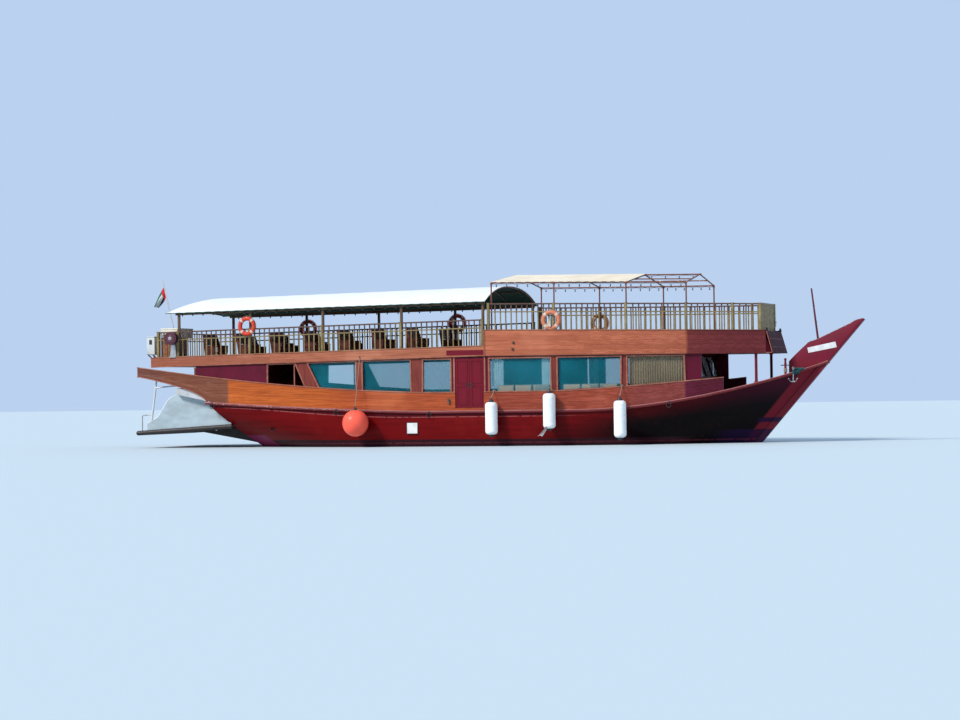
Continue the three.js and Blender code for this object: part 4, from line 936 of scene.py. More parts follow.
def make_stem():
    head = smooth_line([(13.93, 4.238), (13.7, 4.185), (13.47, 4.065), (13.02, 3.86), (12.35, 3.56),
                        (12.07, 3.47),
                        (11.9, 3.33), (11.6, 3.06), (11.34, 2.8)])
    front = [(stem_front(z), z) for z in steps(-1.45, 4.2, 0.3)]
    foot = smooth_line([(8.2, -1.85), (8.55, -1.8), (8.85, -1.62), (stem_front(-1.45), -1.45)], 4)[:-1]
    outline = ([(-7.15, -1.85)] + [tuple(p) for p in foot] + front + [tuple(p) for p in head]
               + [(11.33, 2.1), (8.3, -0.9), (-5.5, -0.5), (-5.5, -1.74), (-7.15, -1.74)])
    heap = Heap()
    rounded_plate(heap, outline, STEM_HALF, 0.028)
    return piece("stem_timber", heap, [stem_paint], replaces=["keel_and_stem"], angle=32.0)


def make_name_plate():
    """A bare plate on each side of the head, screwed on flat."""
    heap = Heap()
    for side in (-1, 1):
        y = side * (STEM_HALF + 0.001)
        heap.finish = 0
        heap.prism([(x, y, z) for x, z in ((12.0, 3.26), (12.98, 3.45), (13.03, 3.26), (12.04, 3.08))],
                   (0, side * 0.007, 0))
        heap.finish = 1
        for x, z in ((12.07, 3.235), (12.93, 3.405), (12.97, 3.28), (12.1, 3.115)):
            heap.lathe((x, y + side * 0.006, z), (0, side, 0), [(0, 0.014), (0.004, 0.013), (0.006, 0.007)],
                       10)
    return piece("blank_plates", heap, [pale_plate, steel])


stem = make_stem()
make_name_plate()
print("stem:", len(stem.data.vertices), "points")

# %% [markdown]
# A rub rail with a bead runs along the sheer. A moulding keeps its section from end to end, so one helper
# sweeps a section along any height curve.

# %% Mouldings along the side
def moulding(heap, start, stop, section, line, breadth=sheer_breadth, pitch=0.3, sides=(-1, 1), ends=True):
    for side in sides:
        rows = [[(x, side * (breadth(x) + out), line(x) + up) for out, up in section]
                for x in steps(start, stop, pitch)]
        heap.grid(rows, around=True, ends=ends)


def make_mouldings():
    heap = Heap()
    rub = [(-0.03, -0.095), (0.05, -0.095), (0.068, -0.082), (0.075, -0.062), (0.075, -0.04), (0.066, -0.028),
           (-0.03, -0.028)]
    bead = [(-0.03, -0.026), (0.052, -0.026), (0.062, -0.018), (0.062, -0.004), (0.052, 0.004),
            (-0.03, 0.004)]
    moulding(heap, TRANSOM_TOP - 0.02, 12.72, rub, sheer_height)
    heap.finish = 1
    moulding(heap, TRANSOM_TOP - 0.02, 12.72, bead, sheer_height)
    return piece("sheer_mouldings", heap, [rub_paint, bead_worn_paint_and_highlight],
                 replaces=["rub_rail_starboard", "rub_rail_port"])


make_mouldings()
print("mouldings run", round(12.72 - TRANSOM_TOP, 1), "m on each side")

# %% [markdown]
# The planked band is laid in strakes of boards that meet end to end, and sweeps out past the transom as two
# wings. Each board is a slightly rounded strip with its own shade, so a dark line shows between them.

# %% Planked bands
DOOR_AFT, DOOR_FORE = 0.12, 1.18
DOOR_FOOT, DOOR_HEAD = 1.345, 3.09
STRAKES = 5
SEAM = 0.005
BUTT = 0.001
STATION = 0.24


def board_ends(start, stop, longest, luck):
    """Where the boards of a strake meet."""
    ends = [start]
    while stop - ends[-1] > longest * 1.15:
        ends.append(ends[-1] + longest * luck.uniform(0.62, 1.0))
    return ends + [stop]


def lay_board(heap, start, stop, low, high, inner, outer, side):
    """One board along the boat, rounded a little on its outer face. All boards bend at the same stations."""
    first, last = ceil((start + 0.01) / STATION), floor((stop - 0.01) / STATION)
    rows = []
    for x in [start, *(k * STATION for k in range(first, last + 1)), stop]:
        z0, z1, y = low(x), high(x), outer(x)
        ease = min(SEAM, (z1 - z0) / 4)
        section = [(inner(x), z0), (y - 0.006, z0), (y - 0.001, z0 + ease), (y, (z0 + z1) / 2),
                   (y - 0.001, z1 - ease),
                   (y - 0.006, z1), (inner(x), z1)]
        rows.append([(x, side * out, z) for out, z in section])
    heap.solid(rows)


def lay_strakes(heap, runs, low, high, inner, outer, count, longest, luck, sides=(-1, 1)):
    """Strakes of boards between two height curves, over each run of x."""
    for side in sides:
        for k in range(count):
            foot = lambda x, k=k: mix(low(x), high(x), k / count)
            head = lambda x, k=k: mix(low(x), high(x), (k + 1) / count)
            for start, stop in runs(k):
                ends = board_ends(start, stop, longest, luck)
                for a, b in zip(ends, ends[1:]):
                    heap.board = luck.random()
                    lay_board(heap, a + BUTT, b - BUTT, foot, head, inner, outer, side)


def make_bands():
    luck = Random(11)
    heap = Heap()
    inner = lambda x: sheer_breadth(x) - 0.06
    outer = lambda x: sheer_breadth(x) + 0.01
    lay_strakes(heap, lambda k: [(-12.45, DOOR_AFT), (DOOR_FORE, BAND_END)], band_foot, sill_height, inner,
                outer,
                STRAKES, 4.6, luck)
    heap.board = 0.4
    for side in (-1, 1):
        lay_board(heap, DOOR_AFT, DOOR_FORE, sheer_height, lambda x: DOOR_FOOT, inner,
                  lambda x: sheer_breadth(x) + 0.02, side)
    heap.finish = 1
    cap = [(-0.075, -0.004), (0.024, -0.004), (0.032, 0.006), (0.032, 0.024), (0.022, 0.034), (-0.075, 0.034)]
    moulding(heap, -12.46, DOOR_AFT, cap, sill_height)
    moulding(heap, DOOR_FORE, BAND_END, cap, sill_height)
    lip = [(-0.05, -0.02), (0.022, -0.02), (0.03, -0.01), (0.03, 0.008), (0.022, 0.014), (-0.05, 0.014)]
    moulding(heap, -12.46, TRANSOM_TOP + 0.05, lip, wing_underside, pitch=0.12)
    return piece("planked_bands", heap, [plank_varnish, trim_varnish],
                 replaces=["plank_band_starboard", "plank_band_port"])


bands = make_bands()
print("planked bands:", len(bands.data.polygons), "faces")

# %% [markdown]
# The saloon walls keep their solids, with the windows cut. What the eye reads is the light moulding round
# each window, so mouldings are laid over the wall along the openings.

# %% Saloon walls and window frames
WINDOWS = [
    (-7.07, -7.06, -6.00, -5.64), (-5.03, -5.48, -3.64, -3.64), (-3.35, -3.35, -1.57,
                                                                 -1.55), (-1.08, -1.06, -0.06, -0.06),
    (1.4, 1.4, 3.58, 3.58), (3.85, 3.85, 6.02, 6.00), (6.26, 6.26, 8.11, 8.14),
]                                # foot aft, head aft, head fore, foot fore


def wall_face(x):
    return sheer_breadth(x) - 0.02


def window_foot(x):
    return sill_height(x) + 0.03


def window_head(x):
    return min(3.04, soffit(x) - 0.07)


def wall_finish():
    """Maroon boards at both ends and around the door, varnished pillars between the windows."""
    made = wood("saloon_wall", (0.21, 0.04, 0.027), (0.14, 0.024, 0.018), (0.3, 0.085, 0.06), 0.45, 0.03,
                grain_size=(12.0, 12.0, 1.0))
    varnish = made.shader.inputs["Base Color"].links[0].from_socket
    place = made.place()
    x = made.axes(place)[0]
    patches = made.noise(place, 1.4, 4.0)
    red = made.blend(made.rise(patches, 0.35, 0.7), (0.11, 0.004, 0.019), (0.075, 0.003, 0.013))
    painted = 1 - band(made, x, -7.12, -0.02) - band(made, x, 1.32, 8.19)
    made.set("Base Color", made.blend(painted, Wire(made, varnish), red))
    return made


wall = wall_finish()
for side_name in ("starboard", "port"):
    dress("saloon_wall_" + side_name, wall)
    dress("glazing_" + side_name, window_glass)
dress("saloon_bulkhead_aft", maroon)
dress("windscreen_frame", deep_maroon)
dress("windscreen_glass", clear_glass)


def frame_windows():
    heap = Heap()
    for foot_aft, head_aft, head_fore, foot_fore in WINDOWS:
        sill_bar = [(-0.045, -0.05), (0.022, -0.05), (0.03, -0.04), (0.03, -0.012), (0.02, 0.002),
                    (-0.045, 0.002)]
        head_bar = [(-0.045, -0.002), (0.012, -0.002), (0.02, 0.008), (0.02, 0.034), (0.01, 0.044),
                    (-0.045, 0.044)]
        moulding(heap, foot_aft - 0.05, foot_fore + 0.05, sill_bar, window_foot, wall_face)
        moulding(heap, head_aft - 0.05, head_fore + 0.05, head_bar, window_head, wall_face)
        for side in (-1, 1):
            for low_x, high_x, push in ((foot_aft, head_aft, -0.026), (foot_fore, head_fore, 0.026)):
                start = (low_x + push, side * (wall_face(low_x) - 0.012), window_foot(low_x) - 0.01)
                end = (high_x + push, side * (wall_face(high_x) - 0.012), window_head(high_x) + 0.01)
                heap.bar(start, end, 0.052, 0.058, up=(0, 1, 0))
    for side in (-1, 1):
        for x in (0.085, 1.215):
            heap.upright(x, side * 3.046, 1.4, 3.115, 0.055, 0.022)
        x, inner = -6.03, wall_face(-6.03) - 0.03
        heap.upright(x, side * inner, window_foot(x), window_head(x), 0.04, 0.03)
    return piece("window_frames", heap, [trim_varnish])


frame_windows()

# %% [markdown]
# Each side has a double door. What dresses a leaf rides on that leaf's body and turns with it: two sunk
# panels in beads, a lever and a lock.

# %% Doors
DOOR_FACE = 3.034


def dress_door(side_name, side, leaf, x0, x1):
    heap = Heap()
    middle, half = (x0 + x1) / 2, (x1 - x0) / 2 - 0.075
    out = (0, side, 0)

    def at(x, rise, z):
        return x, side * (DOOR_FACE - 0.002 + rise), z

    for low, high in ((1.45, 2.08), (2.2, 2.98)):
        corners = [(middle - half, low), (middle + half, low), (middle + half, high), (middle - half, high)]
        for (xa, za), (xb, zb) in zip(corners, corners[1:] + corners[:1]):
            heap.bar(at(xa, 0.005, za), at(xb, 0.005, zb), 0.022, 0.022, up=out)
        heap.bar(at(middle, 0.002, low + 0.05), at(middle, 0.002, high - 0.05), 2 * half - 0.1, 0.01, up=out)
    heap.finish = 1
    x, turn = (x1 - 0.05, -1) if leaf == "aft" else (x0 + 0.05, 1)
    heap.bar(at(x, 0.004, 2.02), at(x, 0.004, 2.24), 0.036, 0.008, up=out)
    lever = [at(x, 0, 2.16), at(x, 0.04, 2.16), at(x + turn * 0.02, 0.048, 2.16),
             at(x + turn * 0.12, 0.048, 2.155)]
    heap.tube(lever, 0.009)
    heap.lathe(at(x, 0, 2.06), out, [(0, 0.013), (0.01, 0.012), (0.014, 0.006)], 12)
    leaf_name = f"{side_name}_{leaf}"
    piece("door_trim_" + leaf_name, heap, [maroon, iron], body="door_" + leaf_name)


for side_name, side in SIDES.items():
    for leaf, x0, x1 in (("aft", 0.128, 0.646), ("fore", 0.654, 1.172)):
        dress(f"door_{side_name}_{leaf}", maroon)
        dress_door(side_name, side, leaf, x0, x1)
print("doors:", [name for name in pieces if name.startswith("door_")])

# %% [markdown]
# Deep boards hide the edges of both upper decks, laid like the hull's band. Forward they are painted dark
# red, and a sloping visor closes the front.

# %% Deck edge boards and the visor
FASCIA_PAINT_FROM = 8.22
VISOR_HALF = sheer_breadth(FORWARD_DECK_END + 0.02) + 0.04
VISOR_TOP = forward_deck(FORWARD_DECK_END) + 0.01
VISOR_FOOT = soffit(FORWARD_DECK_END) - 0.02


LIP = [(-0.02, -0.004), (0.048, -0.004), (0.056, 0.004), (0.056, 0.02), (0.046, 0.028), (-0.02, 0.028)]


def fascia_face(x):
    return sheer_breadth(x) + 0.04


def lay_fascia(heap, spans, deck, boards, longest, luck):
    """Boards on both edges of a deck, with a lip along top and foot. Painted boards have painted lips."""
    top = lambda x: deck(x) + 0.02
    lay_strakes(heap, lambda k: spans, soffit, top, lambda x: sheer_breadth(x) - 0.0194, fascia_face, boards,
                longest, luck)
    for start, stop in spans:
        heap.finish = 0 if start == FASCIA_PAINT_FROM else 1
        moulding(heap, start, stop, LIP, top)
        moulding(heap, start, stop, [(out, up - 0.018) for out, up in LIP], soffit)


def make_aft_fascia():
    luck = Random(5)
    heap = Heap()
    x = AFT_DECK_END - 0.05
    half = fascia_face(x) - 0.004
    low, high = soffit(AFT_DECK_END), aft_deck(AFT_DECK_END) + 0.02
    for k in range(3):
        heap.board = luck.random()
        z0, z1 = mix(low, high, k / 3) + 0.003, mix(low, high, (k + 1) / 3) - 0.003
        heap.athwart(x + 0.025, -half, half, (z0 + z1) / 2, 0.049, z1 - z0)
    lay_fascia(heap, [(x, DECK_STEP - 0.002)], aft_deck, 3, 5.0, luck)
    heap.finish = 2
    for side in (-1, 1):
        ends = [(at, side * (fascia_face(at) + 0.003), 3.27) for at in (-0.17, DECK_STEP - 0.01)]
        heap.bar(ends[0], ends[1], 0.01, 0.17)
    return piece("aft_deck_boards", heap, [fascia_varnish, trim_varnish, maroon],
                 replaces=["aft_fascia"])


def make_forward_fascia():
    heap = Heap()
    spans = [(DECK_STEP, FASCIA_PAINT_FROM), (FASCIA_PAINT_FROM, FORWARD_DECK_END + 0.02)]
    lay_fascia(heap, spans, forward_deck, 5, 5.5, Random(8))
    x = DECK_STEP + 0.03
    heap.finish = 1
    for side in (-1, 1):
        y = side * (fascia_face(x) + 0.006)
        heap.upright(x, y, soffit(x), forward_deck(x) + 0.02, 0.05, 0.03)
    return piece("forward_deck_boards", heap, [fascia_varnish, trim_varnish],
                 replaces=["forward_fascia"])


def make_visor():
    heap = Heap()
    x0, top, foot = FORWARD_DECK_END, VISOR_TOP, VISOR_FOOT
    front = [(0.001, top), (0.06, top), (0.28, foot), (0.23, foot), (0.001, 3.7)]
    heap.prism([(x0 + x, -VISOR_HALF, z) for x, z in front], (0, 2 * VISOR_HALF, 0))
    cheek = [(0.001, foot), (0.24, foot), (0.04, top - 0.01), (0.001, top - 0.01)]
    for side in (-1, 1):
        heap.finish = 0
        heap.prism([(x0 + x, side * VISOR_HALF, z) for x, z in cheek], (0, -side * 0.058, 0))
        heap.finish = 1
        y = side * (VISOR_HALF - 0.014)
        low, high = (x0 + 0.245, y, foot + 0.02), (x0 + 0.05, y, top - 0.015)
        for start, end, thick in ((low, high, 0.03), ((x0 + 0.02, y, top - 0.012), high, 0.026),
                                  ((x0 + 0.02, y, foot + 0.02), low, 0.03)):
            heap.bar(start, end, 0.03, thick, up=(0, 1, 0))
    for z in (3.3, 3.58):
        x = mix(x0 + 0.28, x0 + 0.06, (z - foot) / (top - foot))
        heap.athwart(x - 0.014, -VISOR_HALF + 0.03, VISOR_HALF - 0.03, z, 0.024, 0.03)
    piece("visor", heap, [deep_maroon, trim_varnish])


make_aft_fascia()
make_forward_fascia()
make_visor()
for deck in ("aft_deck", "forward_deck"):
    dress(deck, deck_wood)
print("deck boards laid")

# %% [markdown]
# Guard rails run round both decks: posts, three rails and some six hundred pickets, a hand apart. A loop
# sets them along the deck's curve, each turned a hair, as hand-nailed sticks are.

# %% Guard rails with pickets
RAIL_INSET = 0.11
PICKET_PITCH = 0.195
CANOPY_POSTS = [-10.77, -7.83, -4.95, -1.93, 1.11]
AFT_POSTS = [-11.605] + CANOPY_POSTS
FORE_POSTS = [1.345, 3.7, 6.2, 8.2, 9.7, 10.57]


def rail_line(x):
    return sheer_breadth(x) - RAIL_INSET


def lay_rails(heap, deck, start, stop, posts, luck):
    for out, low, high in ((0.031, 0.001, 0.06), (0.028, 0.65, 0.69), (0.036, 0.92, 0.97)):
        heap.finish = 1 if low > 0.9 else 0
        ease = 0.008
        section = [(-out + ease, low), (out - ease, low), (out, low + ease), (out, high - ease),
                   (out - ease, high),
                   (-out + ease, high), (-out, high - ease), (-out, low + ease)]
        moulding(heap, start, stop, section, deck, rail_line)
    for side in (-1, 1):
        for x in posts:
            heap.board = luck.random()
            y = side * rail_line(x)
            heap.finish = 0
            heap.upright(x, y, deck(x) + 0.004, deck(x) + 0.968, 0.088, 0.088, edge=0.01)
            heap.upright(x, y, deck(x) + 0.966, deck(x) + 0.984, 0.104, 0.104, edge=0.012)
        for x in steps(start + 0.1, stop - 0.1, PICKET_PITCH):
            if min(abs(x - post) for post in posts) < 0.075:
                continue
            heap.board = luck.random()
            for low, high in ((0.055, 0.655), (0.685, 0.925)):
                lean = luck.uniform(-0.004, 0.004)
                y = side * (rail_line(x) + luck.uniform(-0.002, 0.002))
                heap.finish = 1 if low > 0.6 else 0
                heap.bar((x, y, deck(x) + low), (x + lean, y, deck(x) + high), 0.044, 0.024, up=(0, 1, 0),
                         edge=0.004)


def make_aft_rail():
    luck = Random(21)
    heap = Heap()
    lay_rails(heap, aft_deck, -11.65, 1.12, AFT_POSTS, luck)
    heap.finish = 0
    x, z = -11.605, aft_deck(-11.6)
    half = rail_line(-11.65)
    for low, high in ((0.006, 0.06), (0.655, 0.69), (0.925, 0.966)):
        heap.athwart(x, -half, half, z + (low + high) / 2, 0.058, high - low)
    for y in steps(-half + 0.15, half - 0.15, PICKET_PITCH):
        for low, high in ((0.055, 0.66), (0.685, 0.93)):
            heap.bar((x, y, z + low), (x, y, z + high), 0.034, 0.024, edge=0.003)
    return piece("aft_rail_pickets", heap, [rail_paint, rail_brown],
                 replaces=["aft_guard_rail"])


def make_fore_rail():
    luck = Random(22)
    heap = Heap()
    end = 10.62
    lay_rails(heap, forward_deck, 1.3, end, FORE_POSTS, luck)
    heap.finish = 0
    half = rail_line(end)
    z = forward_deck(end)
    boards = steps(-half, half, 0.14)
    for y0, y1 in zip(boards, boards[1:]):
        heap.board = luck.random()
        heap.block((end - 0.073, y0 + 0.002, z + 0.008), (end - 0.027, y1 - 0.002, z + 0.925))
    heap.athwart(end - 0.05, -half, half, z + 0.945, 0.06, 0.045)
    heap.finish = 2
    heap.block((end - 0.085, -half + 0.02, z + 0.6), (end - 0.076, half - 0.02, z + 0.955))
    heap.block((end - 0.34, -half + 0.06, z + 0.972), (end - 0.02, half - 0.06, z + 0.99))
    return piece("fore_rail_pickets", heap, [rail_paint, rail_brown, grey_panel],
                 replaces=["forward_guard_rail"])


aft_rail = make_aft_rail()
fore_rail = make_fore_rail()
print("rails:", len(aft_rail.data.polygons) + len(fore_rail.data.polygons), "faces")

# %% [markdown]
# The canopy is one taut sheet over arched bows, white outside and green inside, with a hip at the stern. A
# cloth simulation of it only finds small dips, so they are put in by formula, with gathers along the hem.

# %% Canopy cloth, bows and eave beams
CANOPY_AFT, CANOPY_FORE = -11.26, 1.23
CANOPY_RISE = 0.57
BOWS = steps(CANOPY_AFT + 0.25, CANOPY_FORE - 0.04, 1.04)


def canopy_eave(x):
    return mix(4.93, 5.05, (x - CANOPY_AFT) / (CANOPY_FORE - CANOPY_AFT))


def canopy_half(x):
    return sheer_breadth(x) - 0.04


def canopy_crown(x):
    t = clamp((x - CANOPY_AFT) / 1.6)
    growth = mix(0.97, 1.07, (x - CANOPY_AFT) / (CANOPY_FORE - CANOPY_AFT))
    return CANOPY_RISE * (0.12 + 0.88 * sin(t * pi / 2) ** 0.6) * growth


def arch(share, x):
    """Rounder over the bows, and fuller at the corners of the hip."""
    return 1 - abs(share) ** (2.4 + 2.2 * clamp(1 - (x - CANOPY_AFT) / 2.2))


def canopy_point(x, share, sink=0.0):
    """A place on the sheet: how far along, and how far from the middle (-1 to 1)."""
    gap = min(abs(x - bow) for bow in BOWS)
    dip = 0.005 * sin(pi * clamp(gap / 1.04)) ** 2 * (1 - share * share)
    gather = 0.006 * sin(x * 2 * pi / 0.4) * clamp((abs(share) - 0.86) / 0.14) ** 2
    z = canopy_eave(x) + canopy_crown(x) * arch(share, x) - dip + gather - sink
    return Vector((x, share * (canopy_half(x) - 0.3 * sink), z))


def make_canopy():
    heap = Heap()
    stations = steps(CANOPY_AFT, CANOPY_FORE, 0.13)
    shares = [sin(pi / 2 * s) for s in steps(-1, 1, 0.055)]
    heap.grid([[canopy_point(x, s) for s in shares] for x in stations])
    heap.finish = 1
    heap.grid([[canopy_point(x, s, 0.012) for s in reversed(shares)] for x in stations])
    for share in (-1, 1):
        heap.tube([canopy_point(x, share, 0.006) + above(-0.01) for x in stations], 0.012, 8)
    heap.finish = 0
    for x in (CANOPY_AFT, CANOPY_FORE):
        heap.tube([canopy_point(x, s, 0.006) for s in shares], 0.011, 8)
    made = piece("canopy_sheet", heap, [canopy_white, canopy_green], replaces=["canopy"])
    length = sum((canopy_point(b, 0) - canopy_point(a, 0)).length for a, b in zip(stations, stations[1:]))
    middle = stations[len(stations) // 2]
    width = sum((canopy_point(middle, b) - canopy_point(middle, a)).length
                for a, b in zip(shares, shares[1:]))
    return length, width


def make_bows():
    """The arched pipes under the sheet, the eave beams and their posts."""
    luck = Random(31)
    heap = Heap()
    for x in BOWS:
        heap.tube([canopy_point(x, s, 0.036) for s in steps(-0.93, 0.93, 0.09)], 0.018, 8)
    heap.tube([canopy_point(x, 0, 0.034) for x in steps(CANOPY_AFT + 0.3, CANOPY_FORE - 0.06, 0.5)], 0.018, 8)
    for share in (-0.5, 0.5):
        heap.tube([canopy_point(x, share, 0.034) for x in steps(CANOPY_AFT + 0.3, CANOPY_FORE - 0.06, 0.5)],
                  0.016, 8)
    for side in (-1, 1):
        heap.finish = 1
        heap.board = 0.5
        line = lambda x: sheer_breadth(x) - 0.216
        top = lambda x: canopy_eave(x) + 0.02
        section = [(-0.045, -0.11), (0.045, -0.11), (0.045, -0.012), (-0.045, 0.0)]
        moulding(heap, -10.9, 1.18, section, top, line, sides=(side,))
        for x in CANOPY_POSTS:
            # The port posts take the darker wood as painted shade on the far side.
            heap.finish = 1 if side < 0 else 2
            heap.board = luck.random()
            y = side * line(x)
            heap.upright(x, y, aft_deck(x) + 0.003, top(x) - 0.05, 0.088, 0.088, edge=0.01)
    return piece("canopy_bows", heap, [pipe_paint, canopy_post, dark_wood_and_post_shade],
                 replaces=["canopy_frame_starboard", "canopy_frame_port"])


bows = make_bows()
length, width = make_canopy()
print("canopy sheet:", round(length, 2), "by", round(width, 2), "m on", len(BOWS), "bows")

# %% [markdown]
# Strings of lamps hang along the eaves and the pergola: a wire that dips between fixed hooks, with a bulb
# at each low point.

# %% Lamp strings
def lamp_string(heap, path, dip=0.025, drop=0.055):
    """A wire from hook to hook along a path, with a bulb between each pair of hooks."""
    for a, b in zip(path, path[1:]):
        a, b = Vector(a), Vector(b)
        line = [a.lerp(b, t) - above(dip * 4 * t * (1 - t)) for t in (0, 0.25, 0.5, 0.75, 1)]
        heap.finish = 0
        heap.tube(line, 0.005, 6)
        low = line[2]
        heap.lathe(low + above(0.004), (0, 0, -1),
                   [(0, 0.008), (0.006, 0.015), (drop * 0.7, 0.015), (drop * 0.75, 0.011)], 8)
        heap.finish = 1
        heap.lathe(low - above(drop * 0.66), (0, 0, -1),
                   [(0, 0.012), (0.018, 0.022), (0.036, 0.026), (0.052, 0.02), (0.06, 0.006)], 10)


def hang_canopy_lamps():
    heap = Heap()
    for side in (-1, 1):
        path = [(x, side * (sheer_breadth(x) - 0.15), canopy_eave(x) - 0.02) for x in steps(-10.8, 1.1, 0.42)]
        lamp_string(heap, path)
    return piece("canopy_lamps", heap, [rubber, lamp_glass])


hang_canopy_lamps()

# %% [markdown]
# The pergola is thin pipe: posts with a gable on each pair, joined by eave and ridge pipes. Each joint gets
# a short sleeve.

# %% Pergola and its shade cloth
PERGOLA_X = [1.44, 3.7, 6.2, 8.2]
PIPE = 0.026


def pergola_y(x):
    return sheer_breadth(x) - RAIL_INSET - 0.045 - PIPE - 0.001


def pergola_eave(x):
    return forward_deck(x) + 1.68


def pergola_ridge(x):
    return pergola_eave(x) + 0.34


def make_pergola():
    heap, lamps = Heap(), Heap()
    sleeve = PIPE * 1.28

    def string_between(a, b, pitch):
        count = max(1, round((b - a).length / pitch))
        lamp_string(lamps, [a.lerp(b, i / count) - above(0.03) for i in range(count + 1)])

    ridge = [Vector((x, 0, pergola_ridge(x))) for x in PERGOLA_X]
    for side in (-1, 1):
        eaves = [Vector((x, side * pergola_y(x), pergola_eave(x))) for x in PERGOLA_X]
        for eave, top in zip(eaves, ridge):
            foot = Vector((eave.x, eave.y, forward_deck(eave.x) + 0.004))
            heap.tube([foot, eave + above(0.01)], PIPE, 12)
            heap.tube([eave, top], PIPE, 12)
            heap.tube([eave - above(0.09), eave + above(0.03)], sleeve, 12)
            heap.tube([eave, eave.lerp(top, 0.035)], sleeve, 12)
            heap.lathe(foot, UP, [(0, 0.07), (0.008, 0.07), (0.012, 0.034), (0.05, 0.032)], 12)
        purlin = [eave.lerp(top, 0.5) - above(0.02) for eave, top in zip(eaves, ridge)]
        for line, thick in ((eaves, PIPE), (purlin, PIPE * 0.8)):
            for a, b in zip(line, line[1:]):
                heap.tube([a, b], thick, 12)
                heap.tube([a, a.lerp(b, 0.03)], thick * 1.25, 12)
                heap.tube([b, b.lerp(a, 0.03)], thick * 1.25, 12)
        for a, b in zip(eaves, eaves[1:]):
            string_between(a, b, 0.36)
    for a, b in zip(ridge, ridge[1:]):
        heap.tube([a, b], PIPE, 12)
        string_between(a, b, 0.5)
    for top in ridge:
        heap.tube([top - Vector((0.05, 0, 0)), top + Vector((0.05, 0, 0))], sleeve, 12)
    piece("pergola_lamps", lamps, [rubber, lamp_glass])
    piece("pergola_pipes", heap, [pipe_paint], replaces=["pergola_frame"])


def make_shade_cloth():
    """A loose woven cloth laid on the starboard slope, dipping between the pipes."""
    start, stop = PERGOLA_X[0], PERGOLA_X[2]
    rows = []
    for x in steps(start - 0.03, stop + 0.03, 0.09):
        if x < PERGOLA_X[1]:
            place = clamp((x - start) / (PERGOLA_X[1] - start))
        else:
            place = clamp((x - PERGOLA_X[1]) / (stop - PERGOLA_X[1]))
        eave = Vector((x, -pergola_y(x) - PIPE, pergola_eave(x)))
        top = Vector((x, -PIPE, pergola_ridge(x)))
        row = []
        for s in steps(0, 1, 0.05):
            point = eave.lerp(top, s)
            sag = 0.045 * sin(pi * place) ** 2 * sin(pi * ((s * 2) % 1)) ** 2
            frill = 0.01 * sin(x * 21.0) * (1 - s) ** 6
            point.z += PIPE * 1.02 - sag + frill + 0.004
            row.append(point)
        rows.append(row)
    heap = Heap()
    heap.grid(rows)
    heap.grid([[p - above(0.004) for p in reversed(row)] for row in rows])
    for edge in ([row[0] for row in rows], [row[-1] for row in rows], rows[0], rows[-1]):
        heap.tube([p - above(0.002) for p in edge], 0.007, 6)
    made = piece("shade_sheet", heap, [shade_white], replaces=["shade_cloth"])
    middle = rows[len(rows) // 2]
    width = length_of(middle)
    length = sum((b[0] - a[0]).length for a, b in zip(rows, rows[1:]))
    return length, width


make_pergola()
length, width = make_shade_cloth()
print("shade cloth:", round(length, 2), "by", round(width, 2), "m")

# %% [markdown]
# A double bench runs down the saloon. Its pads are foam in sewn covers that swell between their seams.
# Cloth simulation with air pressure blows up one seat and one back pad, which are copied along the bench,
# and the piping is laid after that.

# %% Padded pieces
PAD_VOXEL = 0.03
PAD_PRESSURE = 4.0
PAD_FRAMES = 20


def blow_up(size, most):
    """Points and faces of a pad of a size, blown up by cloth simulation and capped."""
    heap = Heap()
    x, y, z = (0.5 * s for s in size)
    heap.along(-x, x, 0, 0, 2 * y, 2 * z, edge=0.35 * z)
    pad = new_object("pad_form", bare_mesh("pad_form", heap))
    remesh = pad.modifiers.new("even faces", "REMESH")
    remesh.mode = "VOXEL"
    remesh.voxel_size = PAD_VOXEL
    even = settled(pad)
    pad.modifiers.clear()
    pad.data = even
    rest = [v.co.copy() for v in even.vertices]
    faces = [tuple(f.vertices) for f in even.polygons]
    blown = rest
    air = pad.modifiers.new("air", "CLOTH")
    air.settings.use_pressure = True
    air.settings.uniform_pressure_force = PAD_PRESSURE
    air.settings.effector_weights.gravity = 0.0
    air.point_cache.frame_end = PAD_FRAMES
    for step in range(1, PAD_FRAMES + 1):
        scene.frame_set(step)
    blown = [v.co.copy() for v in settled(pad).vertices]
    scene.frame_set(1)
    bpy.data.objects.remove(pad)
    points = []
    for before, after in zip(rest, blown):
        move = after - before
        points.append(before + move * min(1.0, most / max(move.length, 1e-9)))
    return points, faces


def lay_pad(heap, form, centre, turn=None):
    """A copy of a blown pad at a place, turned about its own middle."""
    points, faces = form
    turn = turn or Matrix.Identity(3)
    heap.add([turn @ p + Vector(centre) for p in points], faces)


seat_form = blow_up((0.625, 0.425, 0.105), 0.012)
back_form = blow_up((0.625, 0.36, 0.05), 0.008)
print("pads:", len(seat_form[0]), "and", len(back_form[0]), "points")

# %% Bench and wall pads
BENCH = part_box("saloon_settee")
BENCH_SEAT = FLOOR + 0.43


def piping(heap, centre, half_x, half_y, up, across):
    """A thin sewn cord round the edge of a pad."""
    centre, up, across = Vector(centre), Vector(up), Vector(across)
    corner = 0.05
    path = []
    for sx, sy, start in ((1, 1, 0), (-1, 1, 90), (-1, -1, 180), (1, -1, 270)):
        for k in range(4):
            a = radians(start + 30 * k)
            path.append(centre + Vector((sx * (half_x - corner) + cos(a) * corner, 0, 0))
                        + across * (sy * (half_y - corner) + sin(a) * corner))
    heap.tube(path, 0.006, 6, ring=True)


